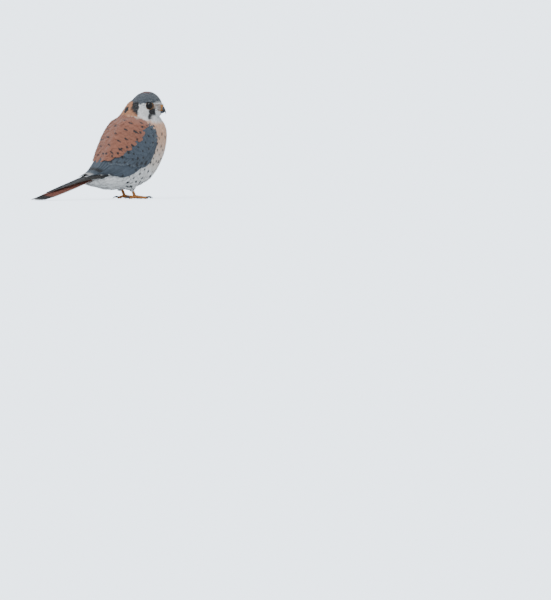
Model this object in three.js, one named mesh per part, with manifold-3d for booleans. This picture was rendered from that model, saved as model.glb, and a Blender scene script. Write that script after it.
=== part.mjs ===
// Male American kestrel, standing, life size. Millimetres, +Z up, the body faces +X, the left wing is on +Y.
// The floor is z = 0. The feathers are set on one smooth body surface, from inside the head to the tail tip.
import * as THREE from "three";
import { mergeVertices } from "three/addons/utils/BufferGeometryUtils.js";
import Module from "manifold-3d";

const wasm = await Module();
wasm.setup();
const DEG = Math.PI / 180;

// Driving dimensions
const GAP = 0.3; // between touching pieces
const LEG_SPREAD = 12; // each foot from the middle plane
const FOOT_X = 1;
const TOE_RADIUS = 1.8;
const SHANK_RADIUS = 1.75;
const EYE_RADIUS = 5.9;
const VANE = 0.6; // thickness of a feather's vane
const HEAD_AT = new THREE.Vector3(30, -5, 121.5); // between the eyes
const HEAD_TURN = -55 * DEG; // the head looks over the right shoulder
const TAIL_DROP = 18.2 * DEG;

// The body's outline, from the tail tip to the inside of the head: the line of the back and the line of the
// belly, both as [x, z], and half of the width.
const BODY = {
  tailEnd: { back: [-153, 2.6], belly: [-152, -1], half: 12 },
  tailMiddle: { back: [-118, 13.2], belly: [-115.5, 8], half: 13.5 },
  tailBase: { back: [-84, 24.4], belly: [-79, 16.5], half: 15 },
  rump: { back: [-60, 34.5], belly: [-45, 14], half: 19 },
  vent: { back: [-49.5, 46], belly: [-22, 13.5], half: 24 },
  belly: { back: [-44, 58], belly: [7, 16], half: 29 },
  flank: { back: [-39, 70], belly: [33, 29], half: 32 },
  chest: { back: [-33, 82], belly: [48, 50], half: 33 },
  breast: { back: [-25.5, 93.5], belly: [55.5, 71], half: 32 },
  shoulder: { back: [-17, 104], belly: [57, 90], half: 28 },
  neckBase: { back: [-8.5, 112.5], belly: [51.5, 105], half: 22 },
  neck: { back: [-3, 121], belly: [45, 113], half: 15.5 },
  neckTop: { back: [3.5, 129], belly: [38, 119], half: 11 },
  headCore: { back: [13, 135], belly: [34, 126], half: 8 },
};
const LAST_STATION = Object.keys(BODY).length - 1;
const spline = (pick) =>
  new THREE.SplineCurve(Object.values(BODY).map((section, i) => new THREE.Vector2(...pick(section, i))));
const BACK_LINE = spline((s) => s.back);
const BELLY_LINE = spline((s) => s.belly);
const HALF_WIDTH = spline((s, i) => [i, s.half]);
const ROUNDNESS = 2.15; // of the superellipse that a section of the body is

// The head's sections along its own forward axis: [forward, top, bottom, half of the width]
const HEAD_SECTIONS = [
  [-22.5, 8, -9, 8],
  [-20, 12, -12, 11.5],
  [-13, 17.6, -16, 15.8],
  [-5, 20.7, -17, 17.2],
  [3, 20.4, -16.6, 15.4],
  [9.5, 17.3, -15, 12.4],
  [14.5, 12.4, -13, 9.4],
  [17.2, 7.8, -11, 6.8],
  [18.2, 4, -8, 4.4],
];

const SLATE = { color: 0x596775, roughness: 0.8 };
const CREAM = { color: 0xd9cdbd, roughness: 0.9 };
const BUFF = { color: 0xcfa184, roughness: 0.9 };
const CHESTNUT = { color: 0x8a4a38, roughness: 0.8 };
const HORN = { color: 0x3c4450, roughness: 0.35 };
const ORANGE_SKIN = { color: 0xc9803a, roughness: 0.5 };
const YELLOW_SKIN = { color: 0xc08a3c, roughness: 0.55 };
const BLACK_EYE = { color: 0x120d0b, roughness: 0.05 };
const BLACK_CLAW = { color: 0x17171a, roughness: 0.3 };

// A closed three.js geometry as a manifold-3d solid, turned right side out.
function solid(geometry) {
  const bare = geometry.clone();
  bare.deleteAttribute("normal");
  bare.deleteAttribute("uv");
  const merged = mergeVertices(bare, 1e-4);
  const corners = merged.index.array;
  const make = () =>
    new wasm.Manifold(
      new wasm.Mesh({
        numProp: 3,
        vertProperties: new Float32Array(merged.attributes.position.array),
        triVerts: new Uint32Array(corners),
      }),
    );
  const made = make();
  if (made.volume() > 0) return made;
  for (let i = 0; i < corners.length; i += 3) [corners[i], corners[i + 1]] = [corners[i + 1], corners[i]];
  return make();
}

const largest = (shape) => shape.decompose().reduce((a, b) => (a.volume() > b.volume() ? a : b));
const fuse = (shapes) => largest(wasm.Manifold.union(shapes));
const cut = (shape, ...others) => others.reduce((kept, other) => kept.subtract(other), shape);

function geometryOf(shape) {
  const { vertProperties, triVerts } = shape.getMesh();
  const geometry = new THREE.BufferGeometry();
  geometry.setAttribute("position", new THREE.BufferAttribute(new Float32Array(vertProperties), 3));
  geometry.setIndex(new THREE.BufferAttribute(new Uint32Array(triVerts), 1));
  geometry.computeVertexNormals();
  return geometry;
}

// A sphere's vertices moved to sections. at(i, angle) gives each point. The first and the last section close
// to a point, with no angle.
function skin(around, sections, at) {
  const geometry = new THREE.SphereGeometry(1, around, sections);
  const { position, uv } = geometry.attributes;
  for (let i = 0; i < position.count; i++) {
    const section = Math.round((1 - uv.getY(i)) * sections);
    const step = Math.round(uv.getX(i) * around) % around;
    const pole = section === 0 || section === sections;
    const p = at(section, pole ? null : (step / around) * 2 * Math.PI);
    position.setXYZ(i, p.x, p.y, p.z);
  }
  return solid(geometry);
}

const power = (value, n) => Math.sign(value) * Math.abs(value) ** (2 / n);

// A point of the body surface: station from 0 at the tail tip to 13 in the head, angle from 0 at the back to
// +-180 degrees at the belly, positive on the left.
function onBody(station, angle) {
  const along = THREE.MathUtils.clamp(station / LAST_STATION, 0, 1);
  const back = BACK_LINE.getPoint(along);
  const belly = BELLY_LINE.getPoint(along);
  const half = HALF_WIDTH.getPoint(along).y;
  const depth = power(Math.cos(angle), ROUNDNESS);
  const middle = back.clone().add(belly).multiplyScalar(0.5);
  const toBack = back.clone().sub(belly).multiplyScalar(0.5 * depth);
  const across = half * power(Math.sin(angle), ROUNDNESS);
  return new THREE.Vector3(middle.x + toBack.x, across, middle.y + toBack.y);
}

function outward(station, angle) {
  const step = 0.02;
  const along = onBody(station + step, angle).sub(onBody(station - step, angle));
  const round = onBody(station, angle + step).sub(onBody(station, angle - step));
  return along.cross(round).normalize();
}

const raised = (station, angle, height) =>
  onBody(station, angle).addScaledVector(outward(station, angle), height);

// The body surface between two stations as a solid, made larger all round by extra.
function bodyPiece(from, to, extra = 0, around = 26, sections = 15) {
  const lengthen = extra * 0.03;
  return skin(around, sections, (i, angle) => {
    const share = THREE.MathUtils.clamp((i - 1) / (sections - 2), 0, 1);
    const station = THREE.MathUtils.lerp(to + lengthen, from - lengthen, share);
    if (angle !== null) return raised(station, angle, extra);
    return onBody(station, 0).lerp(onBody(station, Math.PI), 0.5);
  });
}

// One feather's vane as a thin closed plate. It runs from root to tip, each [station, degrees]. Its height
// over the body surface goes from lift[0] to lift[1]. It leans by tilt: its lower edge stands out, so that
// each feather covers the one below it.
function vane({ root, tip, width, lift, tilt = 0.12, along = 4, blunt = 0.45 }) {
  const side = Math.sign(root[1] + tip[1]) || 1;
  const centre = (s) => [
    THREE.MathUtils.lerp(root[0], tip[0], s),
    THREE.MathUtils.lerp(root[1], tip[1], s) * DEG,
  ];
  const rows = [];
  for (let i = 0; i <= along; i++) {
    const s = i / along;
    const [station, angle] = centre(s);
    const normal = outward(station, angle);
    const tangent = onBody(...centre(Math.min(1, s + 0.05))).sub(onBody(...centre(Math.max(0, s - 0.05))));
    const over = normal.clone().cross(tangent.normalize()).multiplyScalar(side).normalize();
    const half = (width / 2) * (s < 0.5 ? 0.6 + 0.8 * s : 1 - (1 - blunt) * ((s - 0.5) / 0.5) ** 3);
    const height = THREE.MathUtils.lerp(lift[0], lift[1], s);
    const depth = VANE * (i === along ? 0.5 : 1);
    const row = [];
    for (const q of [-1, 1]) {
      const low = onBody(station, angle)
        .addScaledVector(over, q * half)
        .addScaledVector(normal, height - q * half * tilt);
      row.push([low, low.clone().addScaledVector(normal, depth)]);
    }
    rows.push(row);
  }
  return plate(rows);
}

// Rows of [low, high] points as a closed plate whose two faces are split alike.
function plate(rows) {
  const long = rows.length;
  const wide = rows[0].length;
  const points = rows.flat().flatMap(([low, high]) => [...low.toArray(), ...high.toArray()]);
  const at = (i, j, high) => 2 * (i * wide + j) + high;
  const index = [];
  const quad = (a, b, c, d) => index.push(a, b, c, a, c, d);
  for (let i = 0; i < long - 1; i++)
    for (let j = 0; j < wide - 1; j++) {
      quad(at(i, j, 1), at(i + 1, j, 1), at(i + 1, j + 1, 1), at(i, j + 1, 1));
      index.push(at(i, j, 0), at(i + 1, j + 1, 0), at(i + 1, j, 0));
      index.push(at(i, j, 0), at(i, j + 1, 0), at(i + 1, j + 1, 0));
    }
  for (let i = 0; i < long - 1; i++) {
    quad(at(i, 0, 0), at(i + 1, 0, 0), at(i + 1, 0, 1), at(i, 0, 1));
    quad(at(i, wide - 1, 1), at(i + 1, wide - 1, 1), at(i + 1, wide - 1, 0), at(i, wide - 1, 0));
  }
  for (let j = 0; j < wide - 1; j++) {
    quad(at(0, j, 1), at(0, j + 1, 1), at(0, j + 1, 0), at(0, j, 0));
    quad(at(long - 1, j, 0), at(long - 1, j + 1, 0), at(long - 1, j + 1, 1), at(long - 1, j, 1));
  }
  const geometry = new THREE.BufferGeometry();
  geometry.setAttribute("position", new THREE.BufferAttribute(new Float32Array(points), 3));
  geometry.setIndex(index);
  return solid(geometry);
}

// A round limb through points with a radius at each.
function limb(points, radii, around = 8, extra = 0) {
  const path = new THREE.CatmullRomCurve3(points);
  const sections = points.length + 3;
  const radiusAt = new THREE.SplineCurve(radii.map((r, i) => new THREE.Vector2(i, r)));
  return skin(around, sections, (i, angle) => {
    const share = THREE.MathUtils.clamp((i - 1) / (sections - 2), 0, 1);
    const middle = path.getPoint(share);
    const tangent = path.getTangent(share);
    if (angle === null) return middle.addScaledVector(tangent, (share > 0.5 ? 1 : -1) * (extra + 0.2));
    const sideways = new THREE.Vector3(0, 1, 0).cross(tangent);
    if (sideways.length() < 0.05) sideways.set(1, 0, 0);
    sideways.normalize();
    const up = tangent.clone().cross(sideways).normalize();
    const radius = radiusAt.getPoint(share).y + extra;
    return middle
      .addScaledVector(sideways, radius * Math.cos(angle))
      .addScaledVector(up, radius * Math.sin(angle));
  });
}

const slab = (size, x, y, z) => solid(new THREE.BoxGeometry(...size).translate(x, y, z));
const BELOW_FLOOR = slab([600, 300, 100], 0, 0, -50);

// Head

// From the head's own axes, forward, left and up, to the bird's.
const headFrame = new THREE.Matrix4().makeRotationZ(HEAD_TURN).setPosition(HEAD_AT);
const onHead = (forward, left, up) => new THREE.Vector3(forward, left, up).applyMatrix4(headFrame);

function headForm(extra = 0) {
  const sections = HEAD_SECTIONS.length + 1;
  return skin(18, sections, (i, angle) => {
    const [forward, top, bottom, half] = HEAD_SECTIONS[THREE.MathUtils.clamp(i - 1, 0, sections - 2)];
    const middle = (top + bottom) / 2;
    if (angle === null) return onHead(forward + (i === 0 ? -1 - extra : 1 + extra), 0, middle);
    const c = power(Math.cos(angle), 2.1);
    const s = power(Math.sin(angle), 2.1);
    return onHead(forward, (half + extra) * s, middle + ((top - bottom) / 2 + extra) * c);
  });
}

const ball = (radius, centre, squash = [1, 1, 1], detail = 12) => {
  const geometry = new THREE.SphereGeometry(radius, detail, Math.round(detail * 0.7));
  geometry.scale(...squash).rotateZ(HEAD_TURN).translate(centre.x, centre.y, centre.z);
  return solid(geometry);
};

const EYE = { forward: 5.8, out: 10.5, up: 1.8 };
const eyeball = (side, extra = 0) =>
  ball(EYE_RADIUS + extra, onHead(EYE.forward, side * EYE.out, EYE.up), [1, 1, 1], 12);

// The bare ring of lids round each eye.
function lids(side, extra = 0) {
  const ring = new THREE.TorusGeometry(5.1, 0.75 + extra, 5, 12);
  ring.rotateX(Math.PI / 2);
  ring.rotateZ(side * -10 * DEG);
  ring.rotateZ(HEAD_TURN);
  const at = onHead(EYE.forward + 0.5, side * (EYE.out + 3.1), EYE.up);
  ring.translate(at.x, at.y, at.z);
  return solid(ring);
}

// A bill half: sections from the face to the tip, [forward, top, bottom, half of the width].
function billHalf(sections, extra = 0) {
  const count = sections.length + 1;
  return skin(12, count, (i, angle) => {
    const [forward, top, bottom, half] = sections[THREE.MathUtils.clamp(i - 1, 0, count - 2)];
    const middle = (top + bottom) / 2;
    if (angle === null) return onHead(forward + (i === 0 ? -extra - 0.1 : extra + 0.1), 0, middle);
    const pinch = Math.cos(angle) > 0 ? 0.82 : 1; // the ridge is narrower than the cutting edge
    return onHead(
      forward,
      (half + extra) * Math.sin(angle) * pinch,
      middle + ((top - bottom) / 2 + extra) * power(Math.cos(angle), 2.2),
    );
  });
}

const CERE = [
  [13, 3.2, -6, 4.4],
  [18.4, 3, -5.6, 4.3],
  [20.4, 2, -5.4, 3.9],
];
const UPPER_BILL = [
  [14, 1.6, -5.4, 3.6],
  [19.6, 1.9, -5.5, 3.7],
  [21.4, 0.6, -5.9, 3.2],
  [22.9, -1.6, -6.8, 2.5],
  [24, -4.4, -8.4, 1.6],
  [24.4, -7.2, -10.2, 0.8],
];
const LOWER_BILL = [
  [10, -6, -9.4, 3.5],
  [17, -6, -9.2, 3.4],
  [20.6, -6.5, -8.8, 2.5],
  [22, -7.4, -8.6, 1.2],
];

function headParts() {
  const eyes = { left: eyeball(1), right: eyeball(-1) };
  const eyeRoom = [eyeball(1, GAP), eyeball(-1, GAP)];
  const lidRing = { left: cut(lids(1), ...eyeRoom), right: cut(lids(-1), ...eyeRoom) };
  const lidRoom = [lids(1, GAP), lids(-1, GAP)];
  const brows = [1, -1].map((side) =>
    ball(5, onHead(5.8, side * 10.4, 7.4), [1.5, 0.78, 0.34], 9),
  );
  const nostrils = [1, -1].map((side) => ball(0.8, onHead(19.3, side * 3.9, -0.7), [1, 1.2, 1], 8));
  const cereRoom = billHalf(CERE, GAP);
  const upper = cut(billHalf(UPPER_BILL), cereRoom);
  const lowerRoom = billHalf(LOWER_BILL, GAP);
  const cere = cut(billHalf(CERE), lowerRoom, headForm(GAP), ...nostrils);
  const face = fuse([headForm(), ...brows]);
  const head = cut(face, ...eyeRoom, ...lidRoom, lowerRoom, billHalf(UPPER_BILL, GAP), cereRoom);
  return {
    head: largest(head),
    eye_left: eyes.left,
    eye_right: eyes.right,
    lids_left: largest(lidRing.left),
    lids_right: largest(lidRing.right),
    cere: largest(cere),
    bill_upper: largest(upper),
    bill_lower: largest(cut(billHalf(LOWER_BILL), billHalf(UPPER_BILL, GAP))),
  };
}

// Wings

const TORSO = { from: 3.3, to: 10.3 };

// The folded wing's thick inner part, under its feathers: it lies on the body from the wrist to the rump.
const CORE = {
  front: 9.4,
  rear: 2.9,
  edges: [[16, 74], [16, 92], [18, 92], [22, 86], [24, 74]], // degrees of the upper and the lower edge
  lean: 26, // the wrist reaches round to the breast
  thickness: 2.2,
  steps: 9,
};

function wingCore(side) {
  const edges = new THREE.SplineCurve(CORE.edges.map(([top, bottom]) => new THREE.Vector2(top, bottom)));
  const rows = [];
  for (let i = 0; i <= CORE.steps; i++) {
    const s = i / CORE.steps;
    const { x: top, y: bottom } = edges.getPoint(s);
    const lean = CORE.lean * (1 - s) ** 2;
    const thickness = CORE.thickness * Math.sin(Math.PI * (0.12 + 0.7 * (1 - s))) + VANE;
    const row = [];
    for (let j = 0; j <= 4; j++) {
      const across = j / 4;
      const rounding = 0.9 * (2 * across - 1) ** 2 * (1 - s) ** 3; // the shoulder's round front edge
      const station = THREE.MathUtils.lerp(CORE.front, CORE.rear, s) - rounding;
      const degrees = side * (THREE.MathUtils.lerp(top, bottom, across) + lean * (0.3 + 0.7 * across));
      const edge = j === 0 || j === 4 || i === 0 || i === CORE.steps ? 0.45 : 1;
      row.push([raised(station, degrees * DEG, -1), raised(station, degrees * DEG, thickness * edge)]);
    }
    rows.push(row);
  }
  return plate(rows);
}

// A tier of like feathers, from the first to the last.
function tier(side, { count, first, last, form }) {
  const vanes = [];
  for (let i = 0; i < count; i++) {
    const mix = (a, b) => THREE.MathUtils.lerp(a, b, i / (count - 1));
    vanes.push(
      vane({
        ...form,
        root: [mix(first.root[0], last.root[0]), side * mix(first.root[1], last.root[1])],
        tip: [mix(first.tip[0], last.tip[0]), side * mix(first.tip[1], last.tip[1])],
        width: mix(first.width, last.width),
      }),
    );
  }
  return vanes;
}

// The wing's tiers, each from its outermost feather to the one next to the back. Every root and tip is
// [station, degrees] on the body surface.
const WING_TIERS = {
  primaries: {
    count: 6,
    first: { root: [5.2, 88], tip: [0.72, 24], width: 10 },
    last: { root: [4.6, 62], tip: [2.2, 26], width: 11 },
    form: { lift: [1, 1], blunt: 0.3, tilt: 0.1 },
  },
  secondaries: {
    count: 5,
    first: { root: [6.2, 96], tip: [3.85, 88], width: 12.5 },
    last: { root: [5, 56], tip: [2.7, 42], width: 14 },
    form: { lift: [1.2, 2.2], along: 3, blunt: 0.5 },
  },
  tertials: {
    count: 3,
    first: { root: [5.6, 46], tip: [2.75, 32], width: 13.5 },
    last: { root: [5.2, 14], tip: [3.1, 11], width: 12.5 },
    form: { lift: [1.4, 2.8], along: 3, blunt: 0.5 },
  },
  greaterCoverts: {
    count: 5,
    first: { root: [8.1, 112], tip: [6.1, 104], width: 13 },
    last: { root: [5.8, 48], tip: [4.1, 42], width: 14.5 },
    form: { lift: [1.6, 3.1], along: 2, blunt: 0.55 },
  },
  medianCoverts: {
    count: 4,
    first: { root: [8.6, 110], tip: [7.2, 106], width: 13 },
    last: { root: [6.6, 44], tip: [5.2, 42], width: 15 },
    form: { lift: [1.8, 3.7], along: 2, blunt: 0.6 },
  },
  lesserCoverts: {
    count: 3,
    first: { root: [8.9, 106], tip: [7.9, 106], width: 13.5 },
    last: { root: [7.7, 56], tip: [6.5, 54], width: 14.5 },
    form: { lift: [1.6, 4.1], along: 2, blunt: 0.65 },
  },
  outerScapulars: {
    count: 4,
    first: { root: [8.9, 52], tip: [7.3, 54], width: 14 },
    last: { root: [6.3, 38], tip: [4.7, 36], width: 14.5 },
    form: { lift: [1.2, 3.7], along: 2, blunt: 0.6, tilt: 0.1 },
  },
  middleScapulars: {
    count: 4,
    first: { root: [9.2, 32], tip: [7.6, 34], width: 14 },
    last: { root: [5.9, 25], tip: [4.2, 24], width: 14.5 },
    form: { lift: [1.2, 4], along: 2, blunt: 0.6, tilt: 0.1 },
  },
  innerScapulars: {
    count: 4,
    first: { root: [9.1, 12], tip: [7.5, 12], width: 14 },
    last: { root: [5.4, 11], tip: [3.7, 11], width: 14 },
    form: { lift: [1.2, 4.3], along: 2, blunt: 0.6, tilt: 0.1 },
  },
  alula: {
    count: 2,
    first: { root: [8.1, 116], tip: [6.3, 106], width: 7 },
    last: { root: [8, 110], tip: [6.7, 101], width: 7 },
    form: { lift: [1.2, 2.4], along: 2, blunt: 0.3 },
  },
};

function wing(side, rooms) {
  const feathers = Object.values(WING_TIERS).flatMap((row) => tier(side, row));
  const whole = fuse([wingCore(side), ...feathers]);
  const otherSide = slab([600, 100, 400], 0, -side * (50 - GAP / 2), 100);
  return largest(cut(whole, otherSide, ...rooms));
}

// Tail

const TAIL = {
  root: [-44, 36], // [x, z] of the uppermost feathers' roots
  pairs: 6,
  length: 112,
  halfWidth: 6.4, // of one feather
  layer: 0.9, // each pair lies this much under the one above
  fan: 1.35, // and this much further out
  underCoverts: [-40, -14, 14, 40],
};

function tailFeather(pair, side) {
  const spread = side * (0.8 + TAIL.fan * pair);
  const length = TAIL.length - 0.3 * pair * pair;
  const start = new THREE.Vector3(TAIL.root[0], spread * 0.8, TAIL.root[1] - TAIL.layer * pair);
  const along = new THREE.Vector3(-Math.cos(TAIL_DROP), 0, -Math.sin(TAIL_DROP));
  const up = new THREE.Vector3(-Math.sin(TAIL_DROP), 0, Math.cos(TAIL_DROP));
  const sections = 6;
  const rows = [];
  for (let i = 0; i <= sections; i++) {
    const s = i / sections;
    const half = TAIL.halfWidth * (s < 0.85 ? 0.55 + 0.53 * s : 1 - 2.4 * (s - 0.85) ** 1.2);
    const turnUp = s > 0.5 ? 3.5 * (s - 0.5) ** 2 : 0;
    const row = [];
    for (const q of [-1, 0, 1]) {
      const edge = 1 - q * q;
      const point = start
        .clone()
        .addScaledVector(along, s * length - (i === sections ? 3 * q * q : 0))
        .addScaledVector(up, 0.25 * edge - side * q * 0.25 + turnUp);
      point.y += q * half + spread * s * 0.6;
      row.push([point, point.clone().addScaledVector(up, i === sections ? VANE / 2 : VANE)]);
    }
    rows.push(row);
  }
  return plate(rows);
}

function tail(rooms) {
  const feathers = [];
  for (let pair = 0; pair < TAIL.pairs; pair++)
    for (const side of [1, -1]) feathers.push(tailFeather(pair + (side < 0 ? 0.5 : 0), side));
  const root = bodyPiece(1.75, TORSO.from + 0.4, -2.2, 16, 9);
  const underCoverts = TAIL.underCoverts.map((degrees) =>
    vane({
      root: [3.2, 180 - degrees],
      tip: [1.55, 180 - degrees * 0.6],
      width: 12,
      lift: [-2.4, -0.6],
      along: 3,
    }),
  );
  return largest(cut(fuse([root, ...underCoverts, ...feathers]), BELOW_FLOOR, ...rooms));
}

// Legs

const SHANK = { top: [-12, 34], bottom: [1.5, 5] }; // [x, z] of the tarsus
const TOES = [
  { name: "inner", turn: -28, length: 15, claw: 7.5 },
  { name: "middle", turn: 2, length: 21, claw: 8 },
  { name: "outer", turn: 30, length: 16, claw: 6.5 },
  { name: "hind", turn: 172, length: 9.5, claw: 7.5 },
];

const legPoint = (side, x, z, out = 0) => new THREE.Vector3(FOOT_X + x, side * (LEG_SPREAD + out), z);

function toePoint(side, toe, reach, height) {
  const turn = toe.turn * DEG;
  return legPoint(side, 1.5 + Math.cos(turn) * reach, height, Math.sin(turn) * reach);
}

function toe(side, kind, extra = 0) {
  const shares = [0, 0.3, 0.55, 0.8, 1];
  const bumps = [2.1, 1.6, 1.9, 1.5, 1.55];
  const heights = [3.4, 3.2, 2.2, 2, 1.5];
  return limb(
    shares.map((s, i) => toePoint(side, kind, s * kind.length, heights[i])),
    bumps.map((r) => (r / 1.8) * TOE_RADIUS),
    7,
    extra,
  );
}

function claw(side, kind) {
  const l = kind.length;
  const c = kind.claw;
  const points = [
    [l - 1.2, 1.9],
    [l + 0.35 * c, 2.9],
    [l + 0.75 * c, 2.2],
    [l + c, 0.45],
  ].map(([reach, height]) => toePoint(side, kind, reach, height));
  return limb(points, [1.15, 1, 0.65, 0.22], 6);
}

function leg(side, name, torsoRoom) {
  const shankPoints = [
    legPoint(side, SHANK.top[0], SHANK.top[1]),
    legPoint(side, (SHANK.top[0] + SHANK.bottom[0]) / 2, (SHANK.top[1] + SHANK.bottom[1]) / 2),
    legPoint(side, SHANK.bottom[0], SHANK.bottom[1]),
    legPoint(side, SHANK.bottom[0] + 0.6, SHANK.bottom[1] - 2),
  ];
  const shankRadii = [SHANK_RADIUS, SHANK_RADIUS, SHANK_RADIUS * 1.15, SHANK_RADIUS * 1.2];
  const thighPoints = [legPoint(side, -5, 42, 5), legPoint(side, -5, 27, 4.5), legPoint(side, -4, 12.5, 0)];
  const thigh = limb(thighPoints, [10, 10.5, 3.6], 12);
  const shank = limb(shankPoints, shankRadii, 8);
  const shankRoom = limb(shankPoints, shankRadii, 8, GAP);
  const parts = {};
  parts["thigh_" + name] = largest(cut(thigh, torsoRoom, shankRoom));
  parts["shank_" + name] = largest(cut(shank, torsoRoom));
  const foot = fuse(TOES.map((kind) => toe(side, kind)));
  parts["foot_" + name] = largest(cut(foot, shankRoom, BELOW_FLOOR));
  for (const kind of TOES)
    parts[`claw_${kind.name}_${name}`] = largest(cut(claw(side, kind), toe(side, kind, GAP), BELOW_FLOOR));
  return parts;
}

// The whole bird

function bird() {
  const torsoRoom = bodyPiece(TORSO.from, TORSO.to, GAP);
  const headRoom = headForm(GAP);
  const neckForm = (extra) => bodyPiece(TORSO.to + 0.06, 12.9, extra, 24, 8);
  const wingRooms = [torsoRoom, neckForm(GAP), headRoom];
  return {
    torso: largest(cut(bodyPiece(TORSO.from, TORSO.to), headRoom)),
    neck: largest(cut(neckForm(0), headRoom, lids(-1, GAP))),
    ...headParts(),
    wing_left: wing(1, wingRooms),
    wing_right: wing(-1, wingRooms),
    tail: tail([torsoRoom]),
    ...leg(1, "left", torsoRoom),
    ...leg(-1, "right", torsoRoom),
  };
}

const LOOKS = [
  [/^torso|^thigh/, CREAM],
  [/^neck/, BUFF],
  [/^head|^wing/, SLATE],
  [/^tail/, CHESTNUT],
  [/^eye/, BLACK_EYE],
  [/^lids|^cere/, ORANGE_SKIN],
  [/^bill/, HORN],
  [/^shank|^foot/, YELLOW_SKIN],
  [/^claw/, BLACK_CLAW],
];

const kestrel = new THREE.Group();
for (const [name, shape] of Object.entries(bird())) {
  const look = LOOKS.find(([pattern]) => pattern.test(name))[1];
  const mesh = new THREE.Mesh(geometryOf(shape), new THREE.MeshStandardMaterial({ ...look, metalness: 0 }));
  mesh.name = name;
  kestrel.add(mesh);
}

// The origin is at the middle of the floor under the bird.
const box = new THREE.Box3().setFromObject(kestrel);
for (const mesh of kestrel.children)
  mesh.geometry.translate(-(box.min.x + box.max.x) / 2, -(box.min.y + box.max.y) / 2, -box.min.z);

export default kestrel;
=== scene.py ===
"""A male American kestrel at life size, dressed in its feathers. Sizes are millimetres unless they say
otherwise, in the bird's own axes: +X the way the body faces, +Y its left, +Z up, with the floor at 0."""
import math

import bmesh
import bpy
import numpy as np
from mathutils import Matrix, Vector
from mathutils.bvhtree import BVHTree
from mathutils.kdtree import KDTree


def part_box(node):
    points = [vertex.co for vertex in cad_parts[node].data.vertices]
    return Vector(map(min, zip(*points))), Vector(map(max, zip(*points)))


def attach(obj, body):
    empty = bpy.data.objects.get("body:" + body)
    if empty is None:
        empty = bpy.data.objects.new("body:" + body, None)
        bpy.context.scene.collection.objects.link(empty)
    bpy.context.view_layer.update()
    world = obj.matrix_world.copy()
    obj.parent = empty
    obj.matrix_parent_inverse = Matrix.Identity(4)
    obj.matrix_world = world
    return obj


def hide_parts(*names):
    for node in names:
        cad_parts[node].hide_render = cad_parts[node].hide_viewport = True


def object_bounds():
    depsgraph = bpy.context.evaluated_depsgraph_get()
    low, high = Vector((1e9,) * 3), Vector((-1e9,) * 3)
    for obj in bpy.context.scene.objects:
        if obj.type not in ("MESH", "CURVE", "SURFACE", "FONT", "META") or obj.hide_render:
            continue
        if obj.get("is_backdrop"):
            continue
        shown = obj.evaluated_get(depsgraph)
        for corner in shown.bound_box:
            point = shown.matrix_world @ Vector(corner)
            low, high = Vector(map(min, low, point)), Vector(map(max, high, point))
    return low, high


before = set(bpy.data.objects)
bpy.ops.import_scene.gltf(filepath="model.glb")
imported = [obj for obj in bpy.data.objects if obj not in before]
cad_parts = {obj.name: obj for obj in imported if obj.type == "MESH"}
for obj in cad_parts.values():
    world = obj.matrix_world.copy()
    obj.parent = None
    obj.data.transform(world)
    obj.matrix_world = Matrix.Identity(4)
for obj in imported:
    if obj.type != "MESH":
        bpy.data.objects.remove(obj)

bl_info = {
    "name": "Kestrel",
    "version": (1, 0, 0),
    "blender": (4, 5, 0),
    "location": "View3D > Sidebar > Kestrel",
    "description": "Dresses the solids of a standing kestrel in skin, feathers, bill and scales",
    "category": "Object",
}

CAD_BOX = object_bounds()
MM = 0.001
SIDES = (1, -1)  # left and right

# The head, as in the solids
HEAD_AT = np.array([30.0, -5.0, 121.5])
HEAD_TURN = math.radians(-55)
EYE = {"forward": 5.8, "out": 10.5, "up": 1.8, "radius": 5.9}
HEAD_X = np.array([math.cos(HEAD_TURN), math.sin(HEAD_TURN), 0.0])
HEAD_Y = np.array([-math.sin(HEAD_TURN), math.cos(HEAD_TURN), 0.0])
UP = np.array([0.0, 0.0, 1.0])

# The body's outline from the tail tip to the inside of the head, as in the solids:
# name: (back x, back z, belly x, belly z, half of the width)
BODY = {
    "tail_end": (-153, 2.6, -152, -1, 12),
    "tail_middle": (-118, 13.2, -115.5, 8, 13.5),
    "tail_base": (-84, 24.4, -79, 16.5, 15),
    "rump": (-60, 34.5, -45, 14, 19),
    "vent": (-49.5, 46, -22, 13.5, 24),
    "belly": (-44, 58, 7, 16, 29),
    "flank": (-39, 70, 33, 29, 32),
    "chest": (-33, 82, 48, 50, 33),
    "breast": (-25.5, 93.5, 55.5, 71, 32),
    "shoulder": (-17, 104, 57, 90, 28),
    "neck_base": (-8.5, 112.5, 51.5, 105, 22),
    "neck": (-3, 121, 45, 113, 15.5),
    "neck_top": (3.5, 129, 38, 119, 11),
    "head_core": (13, 135, 34, 126, 8),
}
SECTIONS = np.array(list(BODY.values()), float)
LAST_STATION = len(BODY) - 1
ROUNDNESS = 2.15

# The head's sections along its forward axis, as in the solids: forward, top, bottom, half of the width
HEAD_SECTIONS = np.array(
    [
        (-22.5, 8, -9, 8),
        (-20, 12, -12, 11.5),
        (-13, 17.6, -16, 15.8),
        (-5, 20.7, -17, 17.2),
        (3, 20.4, -16.6, 15.4),
        (9.5, 17.3, -15, 12.4),
        (14.5, 12.4, -13, 9.4),
        (17.2, 7.8, -11, 6.8),
        (18.2, 4, -8, 4.4),
    ]
)

# The tail: its root (x, z) and its slope, and of its feathers the pairs, the length, half of the width, the
# step down from pair to pair and the step outwards
TAIL = {
    "root": (-44, 36),
    "drop": math.radians(18.2),
    "pairs": 6,
    "length": 112,
    "half": 6.4,
    "layer": 0.9,
    "fan": 1.35,
}
LEG = {"x": 1, "spread": 12}
TOES = {
    "inner": {"turn": -28, "length": 15, "claw": 7.5},
    "middle": {"turn": 2, "length": 21, "claw": 8},
    "outer": {"turn": 30, "length": 16, "claw": 6.5},
    "hind": {"turn": 172, "length": 9.5, "claw": 7.5},
}


def eye_centre(side):
    return on_head(EYE["forward"], side * EYE["out"], EYE["up"])


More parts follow.
